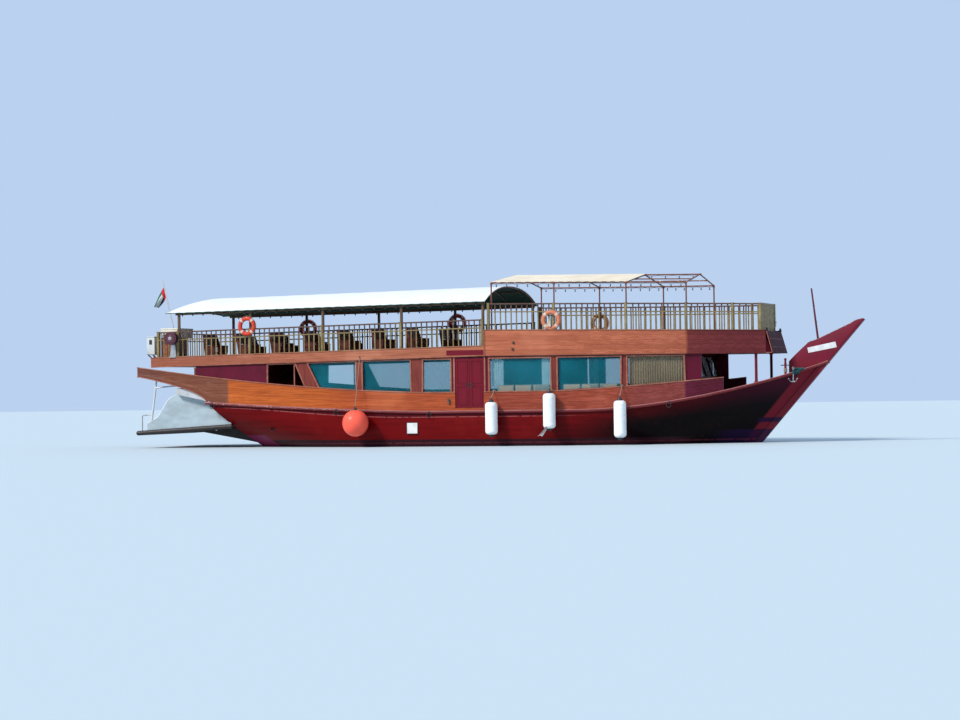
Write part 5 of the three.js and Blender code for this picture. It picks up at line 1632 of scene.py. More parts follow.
def make_bench():
    (x0, y0, z0), (x1, y1, z1) = BENCH
    base, pads = Heap(), Heap()
    base.block((x0, y0 + 0.03, z0 + 0.06), (x1, y1 - 0.03, BENCH_SEAT - 0.12))
    base.block((x0 + 0.04, y0 + 0.07, z0), (x1 - 0.04, y1 - 0.07, z0 + 0.07))
    base.block((x0, -0.016, BENCH_SEAT - 0.14), (x1, 0.016, z1))
    base.along(x0, x1, 0, z1 - 0.012, 0.075, 0.03)
    count = 12
    pitch = (x1 - x0) / count
    for i in range(count + 1):
        x = x0 + i * pitch
        for side in (-1, 1):
            if 0 < i < count:
                base.upright(x, side * 0.475, z0 + 0.08, BENCH_SEAT - 0.13, 0.04, 0.02)
    tilt = Matrix.Rotation(radians(90), 3, "X")
    for i in range(count):
        x = x0 + (i + 0.5) * pitch
        for side in (-1, 1):
            lay_pad(pads, seat_form, (x, side * 0.27, BENCH_SEAT - 0.062))
            piping(pads, (x, side * 0.27, BENCH_SEAT - 0.015), 0.315, 0.212, (0, 0, 1), (0, 1, 0))
            lay_pad(pads, back_form, (x, side * 0.046, 1.8), tilt)
            piping(pads, (x, side * 0.071, 1.8), 0.315, 0.18, (0, 1, 0), (0, 0, 1))
    piece("saloon_bench", base, [helm_varnish], replaces=["saloon_settee"])
    made = piece("bench_pads", pads, [settee_cloth])


def make_wall_pads():
    """Padded boards on the saloon walls, under the two forward windows."""
    pads = Heap()
    tilt = Matrix.Rotation(radians(90), 3, "X")
    for side in (-1, 1):
        for start in (1.62, 3.98):
            for i in range(3):
                x = start + 0.32 + i * 0.64
                slope = (sheer_breadth(x + 0.3) - sheer_breadth(x - 0.3)) / 0.6
                turn = Matrix.Rotation(side * atan(slope), 3, "Z") @ tilt
                lay_pad(pads, back_form, (x, side * (sheer_breadth(x) - 0.135), 1.95), turn)
    made = piece("wall_pads", pads, [settee_cloth])


make_bench()
make_wall_pads()
print("bench of", round(BENCH[1][0] - BENCH[0][0], 2), "m")

# %% [markdown]
# Windows have a blind, curtains or side drapes. Pleats are deeper at the foot than at the rail, and the
# cloth's cut width is the length of its wavy line.

# %% Blind and curtain
def hang_curtain(name, side, x0, x1, low, high, finish, depth, pleats):
    """A sheet of cloth behind the glass, from a rail."""
    rows = []
    for z in steps(high, low, 0.09):
        drop = (high - z) / (high - low)
        row = []
        for x in steps(x0, x1, 0.012 if depth else 0.1):
            wave = sin((x - x0) / (x1 - x0) * pleats * 2 * pi + 0.5 * sin(x * 9))
            y = side * (sheer_breadth(x) - 0.145 + wave * depth * mix(0.55, 1.0, drop))
            row.append(Vector((x + 0.006 * sin(z * 5 + x * 7) * drop, y, z)))
        rows.append(row)
    cloth_heap, rail = Heap(), Heap()
    cloth_heap.grid(rows)
    made = piece(name, cloth_heap, [finish])
    line = rows[len(rows) // 2]
    width = length_of(line)
    rail.tube([(x, side * (sheer_breadth(x) - 0.145),
                high + 0.008) for x in steps(x0 - 0.03, x1 + 0.03, 0.3)], 0.011, 8)
    if not depth:
        rail.tube([(x, side * (sheer_breadth(x) - 0.145), low) for x in steps(x0, x1, 0.3)], 0.01, 8)
    piece(name + "_rail", rail, [dark_wood_and_post_shade])
    return width


for side_name, side in SIDES.items():
    width = hang_curtain("curtain_" + side_name, side, 6.3, 8.1, 1.99, 3.085, curtain_cloth, 0.02, 22)
    hang_curtain("blind_" + side_name, side, 1.86, 3.18, 2.06, 3.085, blind_cloth, 0.0, 1)
    hang_curtain("drape_" + side_name, side, 1.44, 1.8, 2.1, 3.085, drape_cloth, 0.014, 5)
    hang_curtain("far_drape_" + side_name, side, 3.24, 3.6, 2.1, 3.085, drape_cloth, 0.014, 5)
print("curtain cut", round(width, 2), "m wide")

# %% [markdown]
# The helm's console, wheel and shaft are solids of the frame. The compass, dials and levers are set on them
# here.

# %% Helm fittings
HELM_TOP = FLOOR + 1.12


def make_helm_trim():
    heap = Heap()
    heap.along(7.36, 7.72, 0, HELM_TOP + 0.008, 0.84, 0.016)
    heap.finish = 1
    heap.lathe((7.55, 0, HELM_TOP + 0.014), UP, [(0, 0.1), (0.02, 0.1), (0.03, 0.085), (0.1, 0.08),
                                                 (0.14, 0.06), (0.16, 0.02)], 24)
    for y in (-0.26, -0.19):
        heap.tube([(7.5, y, HELM_TOP + 0.01), (7.46, y, HELM_TOP + 0.13)], 0.008, 8)
        heap.ball((7.458, y, HELM_TOP + 0.14), 0.018, 10)
    heap.block((7.44, -0.31, HELM_TOP + 0.012), (7.56, -0.14, HELM_TOP + 0.03))
    heap.finish = 2
    for y in (0.16, 0.26, 0.35):
        heap.lathe((7.44, y, HELM_TOP + 0.012), (-0.4, 0, 1),
                   [(0, 0.045), (0.014, 0.045), (0.018, 0.036), (0.016, 0.001)], 20)
    return piece("helm_trim", heap, [helm_varnish, iron, steel])


dress("helm_console", helm_varnish)
dress("helm_wheel", helm_varnish)
make_helm_trim()
print("helm trimmed")

# %% [markdown]
# A lifebuoy is a hard ring with four pale bands, and a grab line that is caught under each band and bows
# out between them.

# %% Lifebuoys
BUOY_RADIUS = 0.275
BUOY_TUBE = 0.0745
BAND_SWEEP = 16.0


def make_lifebuoy(where, shell):
    low, high = corners_of("lifebuoy_" + where)
    centre = (low + high) / 2
    side = -1 if centre.y < 0 else 1
    turn = side * atan((sheer_breadth(centre.x + 0.2) - sheer_breadth(centre.x - 0.2)) / 0.4)
    axis = Vector((-sin(turn), cos(turn), 0))
    across = axis.cross(Vector(UP))
    outer = BUOY_RADIUS + BUOY_TUBE
    heap = Heap()
    heap.ring(centre, axis, BUOY_RADIUS, BUOY_TUBE, 56, 14)
    for middle in (45, 135, 225, 315):
        heap.finish = 1
        heap.ring(centre, axis, BUOY_RADIUS, BUOY_TUBE + 0.0015, 6, 14, middle - BAND_SWEEP / 2, BAND_SWEEP)
        heap.finish = 2
        path = []
        for t in (i / 10 for i in range(11)):
            angle = radians(middle + 90 * t)
            reach = outer + 0.004 + 0.016 * sin(pi * t)
            path.append(centre + across * (cos(angle) * reach) + above(sin(angle) * reach))
        heap.tube(path, 0.005, 6)
    lashing = ((outer + 0.006, 0.02), (BUOY_RADIUS + 0.05, -0.07), (BUOY_RADIUS - 0.02, -0.1))
    heap.tube([centre + above(rise) + axis * side * out for rise, out in lashing], 0.007, 6)
    piece("buoy_ring_" + where, heap, [shell, lifebuoy_band, pale_rope],
          replaces=["lifebuoy_" + where])


for where in ("aft_starboard", "fore_starboard", "aft_port", "middle_port", "fore_port"):
    make_lifebuoy(where, lifebuoy_pale if where.startswith("fore") else lifebuoy_orange)


def make_rag(name, top, low, width, side, finish):
    """A wiping cloth drawn through something, so that it hangs in a few folds."""
    rows = []
    top, low = Vector(top), Vector(low)
    for t in steps(0, 1, 0.06):
        middle = top.lerp(low, t)
        spread = mix(0.35, 1.0, t ** 0.7)
        row = []
        for s in steps(-1, 1, 0.1):
            fold = 0.018 * sin(s * 9 + 0.8 * t) * (1.15 - 0.5 * t)
            row.append(middle + Vector((s * width / 2 * spread + 0.02 * sin(4 * t), side * fold,
                                        -0.03 * s * s * t)))
        rows.append(row)
    heap = Heap()
    heap.grid(rows)
    made = piece(name, heap, [finish])
    length = sum((b[10] - a[10]).length for a, b in zip(rows, rows[1:]))
    area = sum(face.area for face in made.data.polygons)
    return made, (round(area / length, 4), round(length, 4))


low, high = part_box("lifebuoy_fore_starboard")
middle_x = (low[0] + high[0]) / 2
rag, flat = make_rag("rag_on_lifebuoy", (middle_x - 0.03, low[1] - 0.012, low[2] + 0.4),
                     (middle_x - 0.06, low[1] - 0.016, low[2] + 0.13), 0.15, 1, shade_white)
print("lifebuoys:", len([name for name in pieces if name.startswith("buoy_ring")]))

# %% [markdown]
# Fenders are blown vinyl: a straight body between rounded shoulders, with a dark cap at each end. Their
# lanyards are pulled straight by their weight.

# %% Fenders and the round buoy
def make_fender(number):
    low, high = corners_of(f"fender_{number}")
    centre = (low + high) / 2
    radius, height = (high.x - low.x) / 2 - 0.003, high.z - low.z
    base = Vector((centre.x, centre.y, low.z))
    heap = Heap()
    body = [(along, radius * share) for along, share in ((0.085, 0.5), (0.1, 0.72), (0.125, 0.88),
                                                         (0.165, 0.97), (0.22, 1))]
    top = [(height - along, r) for along, r in reversed(body)]
    creases = [(along, radius * (0.985 if i % 2 else 1.0))
               for i, along in enumerate(steps(0.24, height - 0.24, 0.055))]
    heap.lathe(base, UP, body + creases + top, 32)
    heap.finish = 1
    cap = [(0.0, 0.045), (0.012, 0.072), (0.06, 0.085), (0.088, radius * 0.52), (0.118, radius * 0.8),
           (0.14, radius * 0.925)]
    heap.lathe(base, UP, cap, 28)
    heap.lathe(base + above(height), (0, 0, -1), cap, 28)
    heap.ring(base + above(height + 0.002), (0, 1, 0), 0.034, 0.012, 20, 8)
    heap.finish = 2
    cleat = Vector((centre.x + 0.02, -(sheer_breadth(centre.x) + 0.035), sill_height(centre.x) + 0.05))
    eye = base + above(height + 0.025)
    knot = [eye + Vector(p) for p in ((0.006, 0, 0.05), (-0.016, -0.014, 0.07), (0.014, 0.016, 0.09))]
    turns = [cleat + Vector((dx, 0, dz)) for dx, dz in ((-0.05, 0), (0.04, 0.02), (-0.04, 0.025), (0.05, 0))]
    heap.tube([eye, eye.lerp(cleat, 0.5) + Vector((0, -0.01, 0)), cleat], 0.011)
    heap.tube(knot, 0.015)
    heap.tube(turns, 0.01)
    heap.finish = 3
    heap.bar(cleat + Vector((-0.09, 0.012, 0)), cleat + Vector((0.09, 0.012, 0)), 0.024, 0.022)
    piece(f"fender_body_{number}", heap, [fender_white, fender_cap, pale_rope, iron],
          replaces=[f"fender_{number}"])


for number in (1, 2, 3):
    make_fender(number)

low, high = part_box("fender_2")
rag, flat = make_rag("rag_on_fender", (low[0] + 0.17, low[1] + 0.03, low[2] + 0.16),
                     (low[0] - 0.06, low[1] + 0.05, low[2] - 0.16), 0.17, -1, rag_cloth)


def make_round_buoy():
    low, high = corners_of("round_buoy")
    centre = (low + high) / 2
    radius = (high.x - low.x) / 2 - 0.002
    tall = (high.z - low.z) / 2
    heap = Heap()
    profile = []
    for k in range(25):
        a = pi * k / 24
        profile.append((-cos(a) * tall * (0.97 if k > 12 else 0.99), max(0.02, sin(a) ** 0.96 * radius)))
    heap.lathe(centre, (0, 0, 1), profile, 48)
    heap.finish = 1
    heap.lathe(centre + above(tall * 0.93), UP, [(0, 0.1), (0.012, 0.092), (0.03, 0.06), (0.075, 0.048),
                                                 (0.085, 0.03)], 24)
    heap.ring(centre + above(tall + 0.06), (0, 1, 0), 0.036, 0.014, 20, 8)
    heap.finish = 2
    eye = centre + above(tall + 0.09)
    hook = Vector((-3.44, -(sheer_breadth(-3.44) + 0.052), soffit(-3.44) + 0.1))
    heap.tube([eye, eye.lerp(hook, 0.5), hook], 0.01, 8)
    for lift in (0.02, 0.05, 0.08):
        heap.ring(eye + above(lift), (0.1, 0.1, 1), 0.016, 0.009, 12, 6)
    heap.finish = 3
    heap.ring(hook + above(-0.01), (1, 0, 0), 0.028, 0.007, 16, 6)
    return piece("buoy_body", heap, [buoy_orange, fender_cap, pale_rope, iron],
                 replaces=["round_buoy"])


make_round_buoy()
print("fenders and round buoy hung")

# %% [markdown]
# Small things are bolted to the side: mooring rings, a hatch plate, an outlet and lamps. A ray cast on the
# hull's faces finds where its side is.

# %% Hull side fittings
def side_point(x, side, out=0.0):
    return side * (sheer_breadth(x) + out)


def hull_side(x, side, z):
    """Where the hull's side is, at a height."""
    return hull_surface.ray_cast(Vector((x, side * 6, z)), Vector((0, -side, 0)))[0].y


def make_side_fittings():
    heap = Heap()
    for side in (-1, 1):
        out = (0, side, 0)
        for x in (-9.3, -4.37, -0.84, 7.64):
            z = sheer_height(x) - 0.055
            heap.finish = 0
            plate = [(0, 0.05), (0.012, 0.05), (0.016, 0.02), (0.034, 0.018)]
            heap.lathe((x, side_point(x, side, 0.066), z), out, plate, 14)
            heap.ring((x, side_point(x, side, 0.097), z - 0.085), (0.15, 1, 0.1 * side), 0.085, 0.011, 28, 8)
        x0, x1, z0, z1 = -1.7, -1.3, 0.46, 0.85
        y = hull_side(-1.5, side, z1)
        heap.finish = 1
        heap.block((x0, y - side * 0.03, z0), (x1, y + side * 0.01, z1))
        heap.finish = 0
        corners = [(x0, z0), (x1, z0), (x1, z1), (x0, z1)]
        for a, b in zip(corners, corners[1:] + corners[:1]):
            heap.bar((a[0], y + side * 0.008, a[1]), (b[0], y + side * 0.008, b[1]), 0.018, 0.012, up=out)
        y = hull_side(-7.05, side, 0.66) - side * 0.03
        heap.lathe((-7.05, y, 0.66), out, [(0, 0.055), (0.1, 0.055), (0.12, 0.045), (0.11, 0.035),
                                           (0.02, 0.03)], 16)
        x = -0.11
        heap.finish = 2
        heap.block((x - 0.03, side_point(x, side, 0.03), 1.5), (x + 0.03, side_point(x, side, 0.08), 1.62))
        heap.ball((x, side_point(x, side, 0.075), 1.65), 0.035)
        for x, z in ((2.29, 3.59), (2.26, 3.36)):
            y = side_point(x, side, 0.045)
            heap.finish = 0
            heap.lathe((x, y, z), out, [(0, 0.045), (0.02, 0.045), (0.03, 0.036)], 16)
            heap.finish = 2
            heap.ball((x, y + side * 0.034, z), 0.034)
    piece("side_fittings", heap, [iron, pale_plate, lamp_glass])


make_side_fittings()
print("hull side fitted")

# %% [markdown]
# Behind the transom hangs a swim platform: a boarded tray on dark tubes, between two tall plates whose top
# edge runs in an S with a bright bead.

# %% Swim platform
PLATFORM_HALF = 2.35
PLATE_EDGE = [
    (-12.15, 0.9), (-11.95, 1.00), (-11.74, 1.12), (-11.6, 1.29), (-11.49,
                                                                   1.47), (-11.38, 1.64), (-11.27, 1.77),
    (-11.1, 1.88), (-10.91, 1.94), (-10.65, 1.895), (-10.4, 1.85), (-9.76, 1.65), (-9.3, 1.56), (-9.05, 1.38),
]


def platform_top(x):
    return mix(0.595, 0.86, (x + 12.5) / 4.6)


def transom_at(z):
    return TRANSOM_TOP + (sheer_height(TRANSOM_TOP) - z) * 0.9515


def make_platform():
    luck = Random(41)
    heap = Heap()
    edge = smooth_line(PLATE_EDGE, 5, 0)
    foot = [(transom_at(0.74) - 0.02, 0.74), (-12.15, 0.57)]
    for side in (-1, 1):
        heap.finish = 0
        y = side * (PLATFORM_HALF - 0.09)
        heap.prism([(x, y, z) for x, z in edge + foot], (0, side * 0.06, 0))
        heap.finish = 1
        bead = [(x, side * (PLATFORM_HALF - 0.06), z + 0.004) for x, z in edge]
        heap.tube(bead, 0.03, 10)
        heap.tube([(-12.15, side * (PLATFORM_HALF - 0.06), 0.57),
                   (-12.15, side * (PLATFORM_HALF - 0.06), 0.9)], 0.03, 10)
        for x, z in ((-11.1, 1.05), (-10.1, 1.05), (-9.4, 1.0)):
            heap.bar((x, side * (PLATFORM_HALF - 0.094), 0.62), (x, side * (PLATFORM_HALF - 0.094), z + 0.35),
                     0.05, 0.012, up=(0, side, 0))
        heap.finish = 2
        heap.tube([(-12.5, side * PLATFORM_HALF, 0.555),
                   (transom_at(0.8) + 0.03, side * PLATFORM_HALF, 0.775)], 0.085, 16)
        heap.tube([(-12.5, side * PLATFORM_HALF, 0.555), (-12.512, side * PLATFORM_HALF, 0.554)], 0.07, 16)
        bracket = [(-10.8, 0.62), (transom_at(0.72), 0.7), (transom_at(0.12), 0.12), (-8.45, 0.2)]
        heap.prism([(x, side * 1.1 - 0.05, z) for x, z in bracket], (0, 0.1, 0))
    heap.tube([(-12.5, -PLATFORM_HALF, 0.555), (-12.5, PLATFORM_HALF, 0.555)], 0.085, 16)
    heap.finish = 2
    for x in steps(-12.2, -9.2, 0.75):
        heap.athwart(x, -2.25, 2.25, platform_top(x) - 0.062, 0.06, 0.06)
    heap.finish = 3
    stops = steps(-12.44, -8.86, 0.15)
    for x0, x1 in zip(stops, stops[1:]):
        heap.board = luck.random()
        z0, z1 = platform_top(x0) - 0.016, platform_top(x1) - 0.016
        heap.prism([(x0 + 0.005, -2.255, z0 - 0.014), (x1 - 0.005, -2.255, z1 - 0.014),
                    (x1 - 0.005, -2.255, z1 + 0.015),
                    (x0 + 0.005, -2.255, z0 + 0.015)], (0, 4.51, 0))
    return piece("platform_tray", heap, [platform_paint, plate_edge_paint, iron, deck_wood],
                 replaces=["swim_platform"])


def make_stern_poles():
    """White poles from the quarter wings to the side plates, with grab rails."""
    heap = Heap()
    for side in (-1, 1):
        y = side * 2.29
        heap.finish = 0
        heap.tube([(-11.76, y, wing_underside(-11.76) + 0.02), (-11.98, y, 0.99)], 0.034, 12)
        for x, z in ((-11.775, wing_underside(-11.76) - 0.03), (-11.965, 1.03)):
            heap.lathe((x, y, z), (0.16, 0, 1), [(0, 0.05), (0.05, 0.05)], 12)
        heap.finish = 1
        heap.tube([(-12.36, y, 0.62), (-12.36, y, 1.16), (-12.33, y, 1.2), (-11.96, y, 1.24)], 0.02, 10)
        heap.tube([(-11.8, y, 2.21), (-11.03, y * 0.995, 2.27), (-10.9, y * 0.99, 2.26)], 0.026, 10)
    return piece("stern_poles", heap, [shell_white, galvanised])


make_platform()
make_stern_poles()
dress("stern_gallery", gallery_paint)
print("swim platform laid")

# %% [markdown]
# The upper deck's after end carries a locker, a white cabinet outside the rail and a hose reel. The reel's
# dressing rides on the drum's body, and a ring shows each turn of hose.

# %% Lockers and hose reel
def make_locker():
    (x0, y0, z0), (x1, y1, z1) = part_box("stern_locker")
    heap = Heap()
    fore, step = -11.13, 4.03
    heap.block((x0, y0, z0), (fore, y1, step), 0.012)
    for y in (y0 + 0.34, y0 + 0.98):
        heap.finish = 0
        heap.block((fore - 0.005, y - 0.29, z0 + 0.08), (fore + 0.012, y + 0.29, step - 0.08))
        heap.finish = 2
        heap.ball((fore + 0.022, y + 0.24, (z0 + step) / 2), 0.014, 10)
    heap.finish = 1
    heap.block((x0, y0, step), (x1, y1, z1), 0.02)
    heap.block((x0 - 0.012, y0 - 0.012, z1 - 0.055), (x1 + 0.012, y1 + 0.012, z1 - 0.005), 0.015)
    piece("locker_case", heap, [fascia_varnish, locker_paint, iron],
          replaces=["stern_locker"])


def make_cabinet():
    (x0, y0, z0), (x1, y1, z1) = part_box("stern_cabinet")
    foot = 3.42
    heap = Heap()
    heap.block((x0, y0, foot), (x1, y1, z1), 0.03)
    heap.block((x0 - 0.006, y0 + 0.04, foot + 0.04), (x0 + 0.01, y1 - 0.04, z1 - 0.04))
    heap.block((x0 - 0.02, y0 - 0.015, z1 - 0.025), (x1, y1 + 0.015, z1 + 0.001))
    heap.finish = 1
    for side, y in ((-1, y0), (1, y1)):
        heap.block((-12.06, y, 3.8), (-11.95, y + side * 0.006, 3.97))
        for dx in (0.0, 0.22):
            heap.bar((x1 - 0.01, y - side * 0.05, z0 + dx * 0.2), (x0 + 0.03 + dx, y - side * 0.05, foot),
                     0.04, 0.04)
    heap.block((x0 - 0.014, y0 + 0.09, 3.7), (x0 - 0.002, y0 + 0.11, 3.8))
    piece("cabinet_case", heap, [shell_white, iron], replaces=["stern_cabinet"])


REEL = Vector((-10.93, 0, 4.00))


def make_reel():
    low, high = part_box("hose_reel_drum")
    near, far = high[1], low[1]
    drum = Heap()
    flange = [(0.0, 0.045), (0.0, 0.1), (0.005, 0.225), (0.009, 0.238), (0.016, 0.239), (0.02, 0.228),
              (0.02, 0.1)]
    for y, way in ((near, -1), (far, 1)):
        drum.finish = 0
        drum.lathe((REEL.x, y, REEL.z), (0, way, 0), flange, 48, ends=False)
        drum.lathe((REEL.x, y + way * 0.002, REEL.z), (0, way, 0), [(0, 0.036), (-0.004, 0.1)], 40,
                   ends=False)
    drum.finish = 1
    for r in (0.205, 0.155):
        drum.ring((REEL.x, far - 0.001, REEL.z), (0, 1, 0), r, 0.006, 48, 6)
    drum.finish = 2
    drum.lathe((REEL.x, far, REEL.z), (0, -1, 0), [(0, 0.06), (0.008, 0.06), (0.01, 0.046)], 28)
    drum.finish = 1
    drum.lathe((REEL.x, near, REEL.z), (0, -1, 0), [(0.01, 0.15), (abs(far - near) - 0.01, 0.15)], 36,
               ends=False)
    for radius, shift in ((0.17, 0.0), (0.205, 0.5)):
        for k in range(5):
            y = near - 0.045 - (k + shift) * 0.04
            if y > far + 0.035:
                drum.ring((REEL.x, y, REEL.z), (0, 1, 0), radius, 0.0195, 48, 8)
    piece("reel_drum", drum, [plum, rubber, staff_paint], body="hose_reel_drum",
          replaces=["hose_reel_drum"])
    stand = Heap()
    stand.block((REEL.x - 0.13, -2.7, 3.3), (REEL.x + 0.13, -2.56, 3.34))
    stand.upright(REEL.x, -2.585, 3.32, 3.62, 0.2, 0.05)
    for side in (-1, 1):
        stand.bar((REEL.x + side * 0.11, -2.579, 3.34), (REEL.x + side * 0.05, -2.579, 3.88), 0.03, 0.054,
                  up=(0, 1, 0))
    piece("reel_foot", stand, [galvanised])


make_locker()
make_cabinet()
make_reel()
dress("hose_reel_stand", steel)
print("stern lockers and reel")

# %% [markdown]
# The ensign falls in long folds from a raking staff. Its cloth keeps its area: its lower edge comes closer
# to the upper one, so the cloth between swings out in waves, and its cut size is measured from them.

# %% Staff and flag
STAFF_FOOT = Vector((-11.89, 0, 3.3))
STAFF_TOP = Vector((-12.56, 0, 6.24))
flag_red = cloth("flag_red", (0.5, 0.022, 0.035), (0.3, 0.012, 0.02), 0.003, 0.8)
flag_green = cloth("flag_green", (0.02, 0.12, 0.055), (0.012, 0.07, 0.03), 0.003, 0.8)
flag_pale = cloth("flag_pale", (0.62, 0.62, 0.6), (0.4, 0.41, 0.42), 0.003, 0.8)
flag_dark = cloth("flag_dark", (0.016, 0.017, 0.022), (0.03, 0.03, 0.035), 0.003, 0.8)


def make_staff():
    heap = Heap()
    heap.tube([STAFF_FOOT, STAFF_FOOT.lerp(STAFF_TOP, 0.5), STAFF_TOP - Vector((-0.006, 0, 0.03))],
              [0.0255, 0.022, 0.015], 14)
    heap.lathe(STAFF_TOP - Vector((-0.006, 0, 0.03)), STAFF_TOP - STAFF_FOOT,
               [(0, 0.024), (0.01, 0.026), (0.02, 0.02), (0.026, 0.006)], 16)
    heap.finish = 1
    heap.along(-11.93, -11.852, 0, 3.235, 0.12, 0.23, edge=0.012)
    heap.lathe((-11.905, 0, 3.345), STAFF_TOP - STAFF_FOOT, [(0, 0.045), (0.05, 0.042), (0.06, 0.028)], 16)
    heap.finish = 2
    aft = Vector((-0.024, 0.0, -0.004))
    heap.tube([STAFF_FOOT.lerp(STAFF_TOP, t) + aft for t in (0.12, 0.4, 0.7, 0.97)], 0.0035, 6)
    cleat = STAFF_FOOT.lerp(STAFF_TOP, 0.14) + aft
    heap.bar(cleat - above(0.05), cleat + above(0.05), 0.012, 0.02)
    return piece("staff_pole", heap, [staff_paint, helm_varnish, pale_rope],
                 replaces=["flagstaff"])


def flag_point(s, t):
    """s runs from the staff to the fly, t from the upper edge to the lower one."""
    hoist_top, hoist_low = Vector((-12.53, 0, 5.99)), Vector((-12.44, 0, 5.6))
    fly_top, fly_low = Vector((-12.95, 0, 5.275)), Vector((-12.735, 0, 5.2))
    upper = hoist_top.lerp(fly_top, s) + Vector((-0.02, 0, 0.035)) * sin(pi * s)
    lower = hoist_low.lerp(fly_low, s) + Vector((0.015, 0, -0.01)) * sin(pi * s)
    point = upper.lerp(lower, t)
    depth = 0.012 + 0.062 * s ** 0.8
    point.y += depth * sin(2 * pi * (1.25 * t + 0.35 * s) + 0.6) * min(1.0, s * 6 + 0.2)
    return point


def make_flag():
    heap = Heap()
    across = steps(0, 1, 1 / 30)
    for first, last, finish in ((0, 10, 1), (10, 20, 2), (20, 30, 3)):
        heap.finish = finish
        heap.grid([[flag_point(s, t) for t in across[first:last + 1]] for s in steps(0.25, 1, 0.025)])
    heap.finish = 0
    heap.grid([[flag_point(s, t) for t in across] for s in steps(0, 0.25, 0.025)])
    made = piece("flag_cloth", heap, [flag_red, flag_green, flag_pale, flag_dark],
                 replaces=["flag"], angle=80)
    line = [flag_point(s, 0.5) for s in steps(0, 1, 0.025)]
    length = length_of(line)
    area = sum(face.area for face in made.data.polygons)
    return length, area / length


make_staff()
length, width = make_flag()
print("flag cut", round(length, 2), "by", round(width, 2), "m")

# %% [markdown]
# The bow carries two bitts, a grapnel lashed over the rail, a raking pole and the posts of the upper deck.
# Forged and turned pieces have no flat faces, so they are tubes and lathes.

# %% Bow fittings
def make_bitts():
    heap = Heap()
    for side in SIDES:
        low, high = corners_of("bow_bitt_" + side)
        x, y, _ = (low + high) / 2
        half, tall = (high.x - low.x) / 2, high.z - low.z
        heap.finish = 0
        heap.lathe((x, y, low.z), UP, [(0, half * 0.98), (tall - 0.16, half * 0.98),
                                       (tall - 0.13, half * 0.8),
                                       (tall - 0.09, half * 0.8), (tall - 0.06, half), (tall - 0.012, half),
                                       (tall, half * 0.86)])
        heap.finish = 1
        heap.tube([(x - 0.16, y, high.z - 0.24), (x + 0.16, y, high.z - 0.24)], 0.016, 10)
        heap.finish = 2
        for k in range(5):
            heap.ring((x, y, low.z + 0.1 + 0.024 * k), (0.04, 0.02, 1), half + 0.011, 0.012, 20, 8)
    piece("bitt_posts", heap, [stem_paint, iron, pale_rope],
          replaces=["bow_bitt_" + side for side in SIDES])


def make_grapnel():
    low, high = corners_of("grapnel")
    middle = Vector(((low.x + high.x) / 2, high.y - 0.022, low.z))
    heap = Heap()
    crown = middle + above(0.035)
    head = middle + above(high.z - low.z - 0.01)
    heap.tube([crown, crown.lerp(head, 0.5), head], [0.0215, 0.018, 0.015], 12)
    heap.ball(crown, 0.034, 12)
    heap.ring(head + above(0.012), (0, 1, 0), 0.034, 0.008, 20, 8)
    for reach in (Vector((0.15, -0.05, 0)), Vector((-0.15, -0.05, 0)), Vector((0.02, -0.115, 0))):
        path = [crown + reach * t + above(0.09 * t ** 2.6 - 0.028 * sin(pi * t)) for t in steps(0, 1, 0.1)]
        heap.tube(path, [mix(0.017, 0.009, t) for t in steps(0, 1, 0.1)], 10)
        palm = path[-1]
        heap.lathe(palm, (reach * 0.1 + above(1)),
                   [(-0.03, 0.004), (-0.015, 0.02), (0.012, 0.014), (0.03, 0.002)], 8)
    heap.finish = 1
    for k in range(7):
        heap.ring(head - above(0.06 + 0.021 * k), (0.03, 0, 1), 0.028, 0.0105, 18, 8)
    rail_x = middle.x + 0.05
    rail_y = -(sheer_breadth(rail_x))
    top = sheer_height(rail_x)
    for k in range(6):
        x = rail_x + 0.03 * k
        y = -sheer_breadth(x)
        loop = []
        for i in range(20):
            a = 2 * pi * i / 20
            loop.append((x + 0.02 * sin(a), y - 0.028 + 0.06 * cos(a),
                         sheer_height(x) - 0.045 + 0.075 * sin(a)))
        heap.tube(loop, 0.0105, 8, ring=True)
    for k, turn in enumerate((0.0, 0.35, -0.3, 0.15)):
        loop = []
        centre = Vector((rail_x + 0.13, rail_y + 0.055, top + 0.058 + 0.016 * k))
        for i in range(28):
            a = 2 * pi * i / 28
            p = Vector((0.155 * cos(a), 0.04 * sin(a), 0.01 * sin(2 * a)))
            loop.append(centre + Matrix.Rotation(turn - 0.28, 3, "Z") @ p)
        heap.tube(loop, 0.0115, 8, ring=True)
    return piece("grapnel_hook", heap, [galvanised, teal_rope], replaces=["grapnel"])


def make_bow_trim():
    heap = Heap()
    foot, top = Vector((12.36, 0, 3.56)), Vector((12.15, 0, 5.29))
    for t in (0.02, 0.33, 0.66):
        at = foot.lerp(top, t)
        heap.finish = 0
        heap.lathe(at, top - foot, [(0, mix(0.04, 0.032, t)), (0.01, mix(0.043, 0.035, t)),
                                    (0.02, mix(0.04, 0.032, t))], 14)
    heap.lathe(top, top - foot, [(-0.004, 0.032), (0.01, 0.034), (0.018, 0.02)], 14)
    x = 10.655
    heap.finish = 1
    heap.tube([(x, 1.0, 4.03), (x, 1.0, 4.3), (x + 0.01, 1.0, 5.11)], [0.012, 0.008, 0.003], 8)
    heap.block((x - 0.02, 0.97, 4.16), (x + 0.02, 1.03, 4.22))
    for side in (-1, 1):
        heap.finish = 0
        at = Vector((10.79, side * (VISOR_HALF - 0.1), VISOR_TOP))
        heap.block(at - Vector((0.05, 0.05, 0.002)), at + Vector((0.05, 0.05, 0.05)))
        heap.lathe(at + Vector((0.01, 0, 0.05)), UP,
                   [(0, 0.035), (0.05, 0.035), (0.058, 0.04), (0.066, 0.03)], 16)
    return piece("bow_trim", heap, [iron, shell_white])


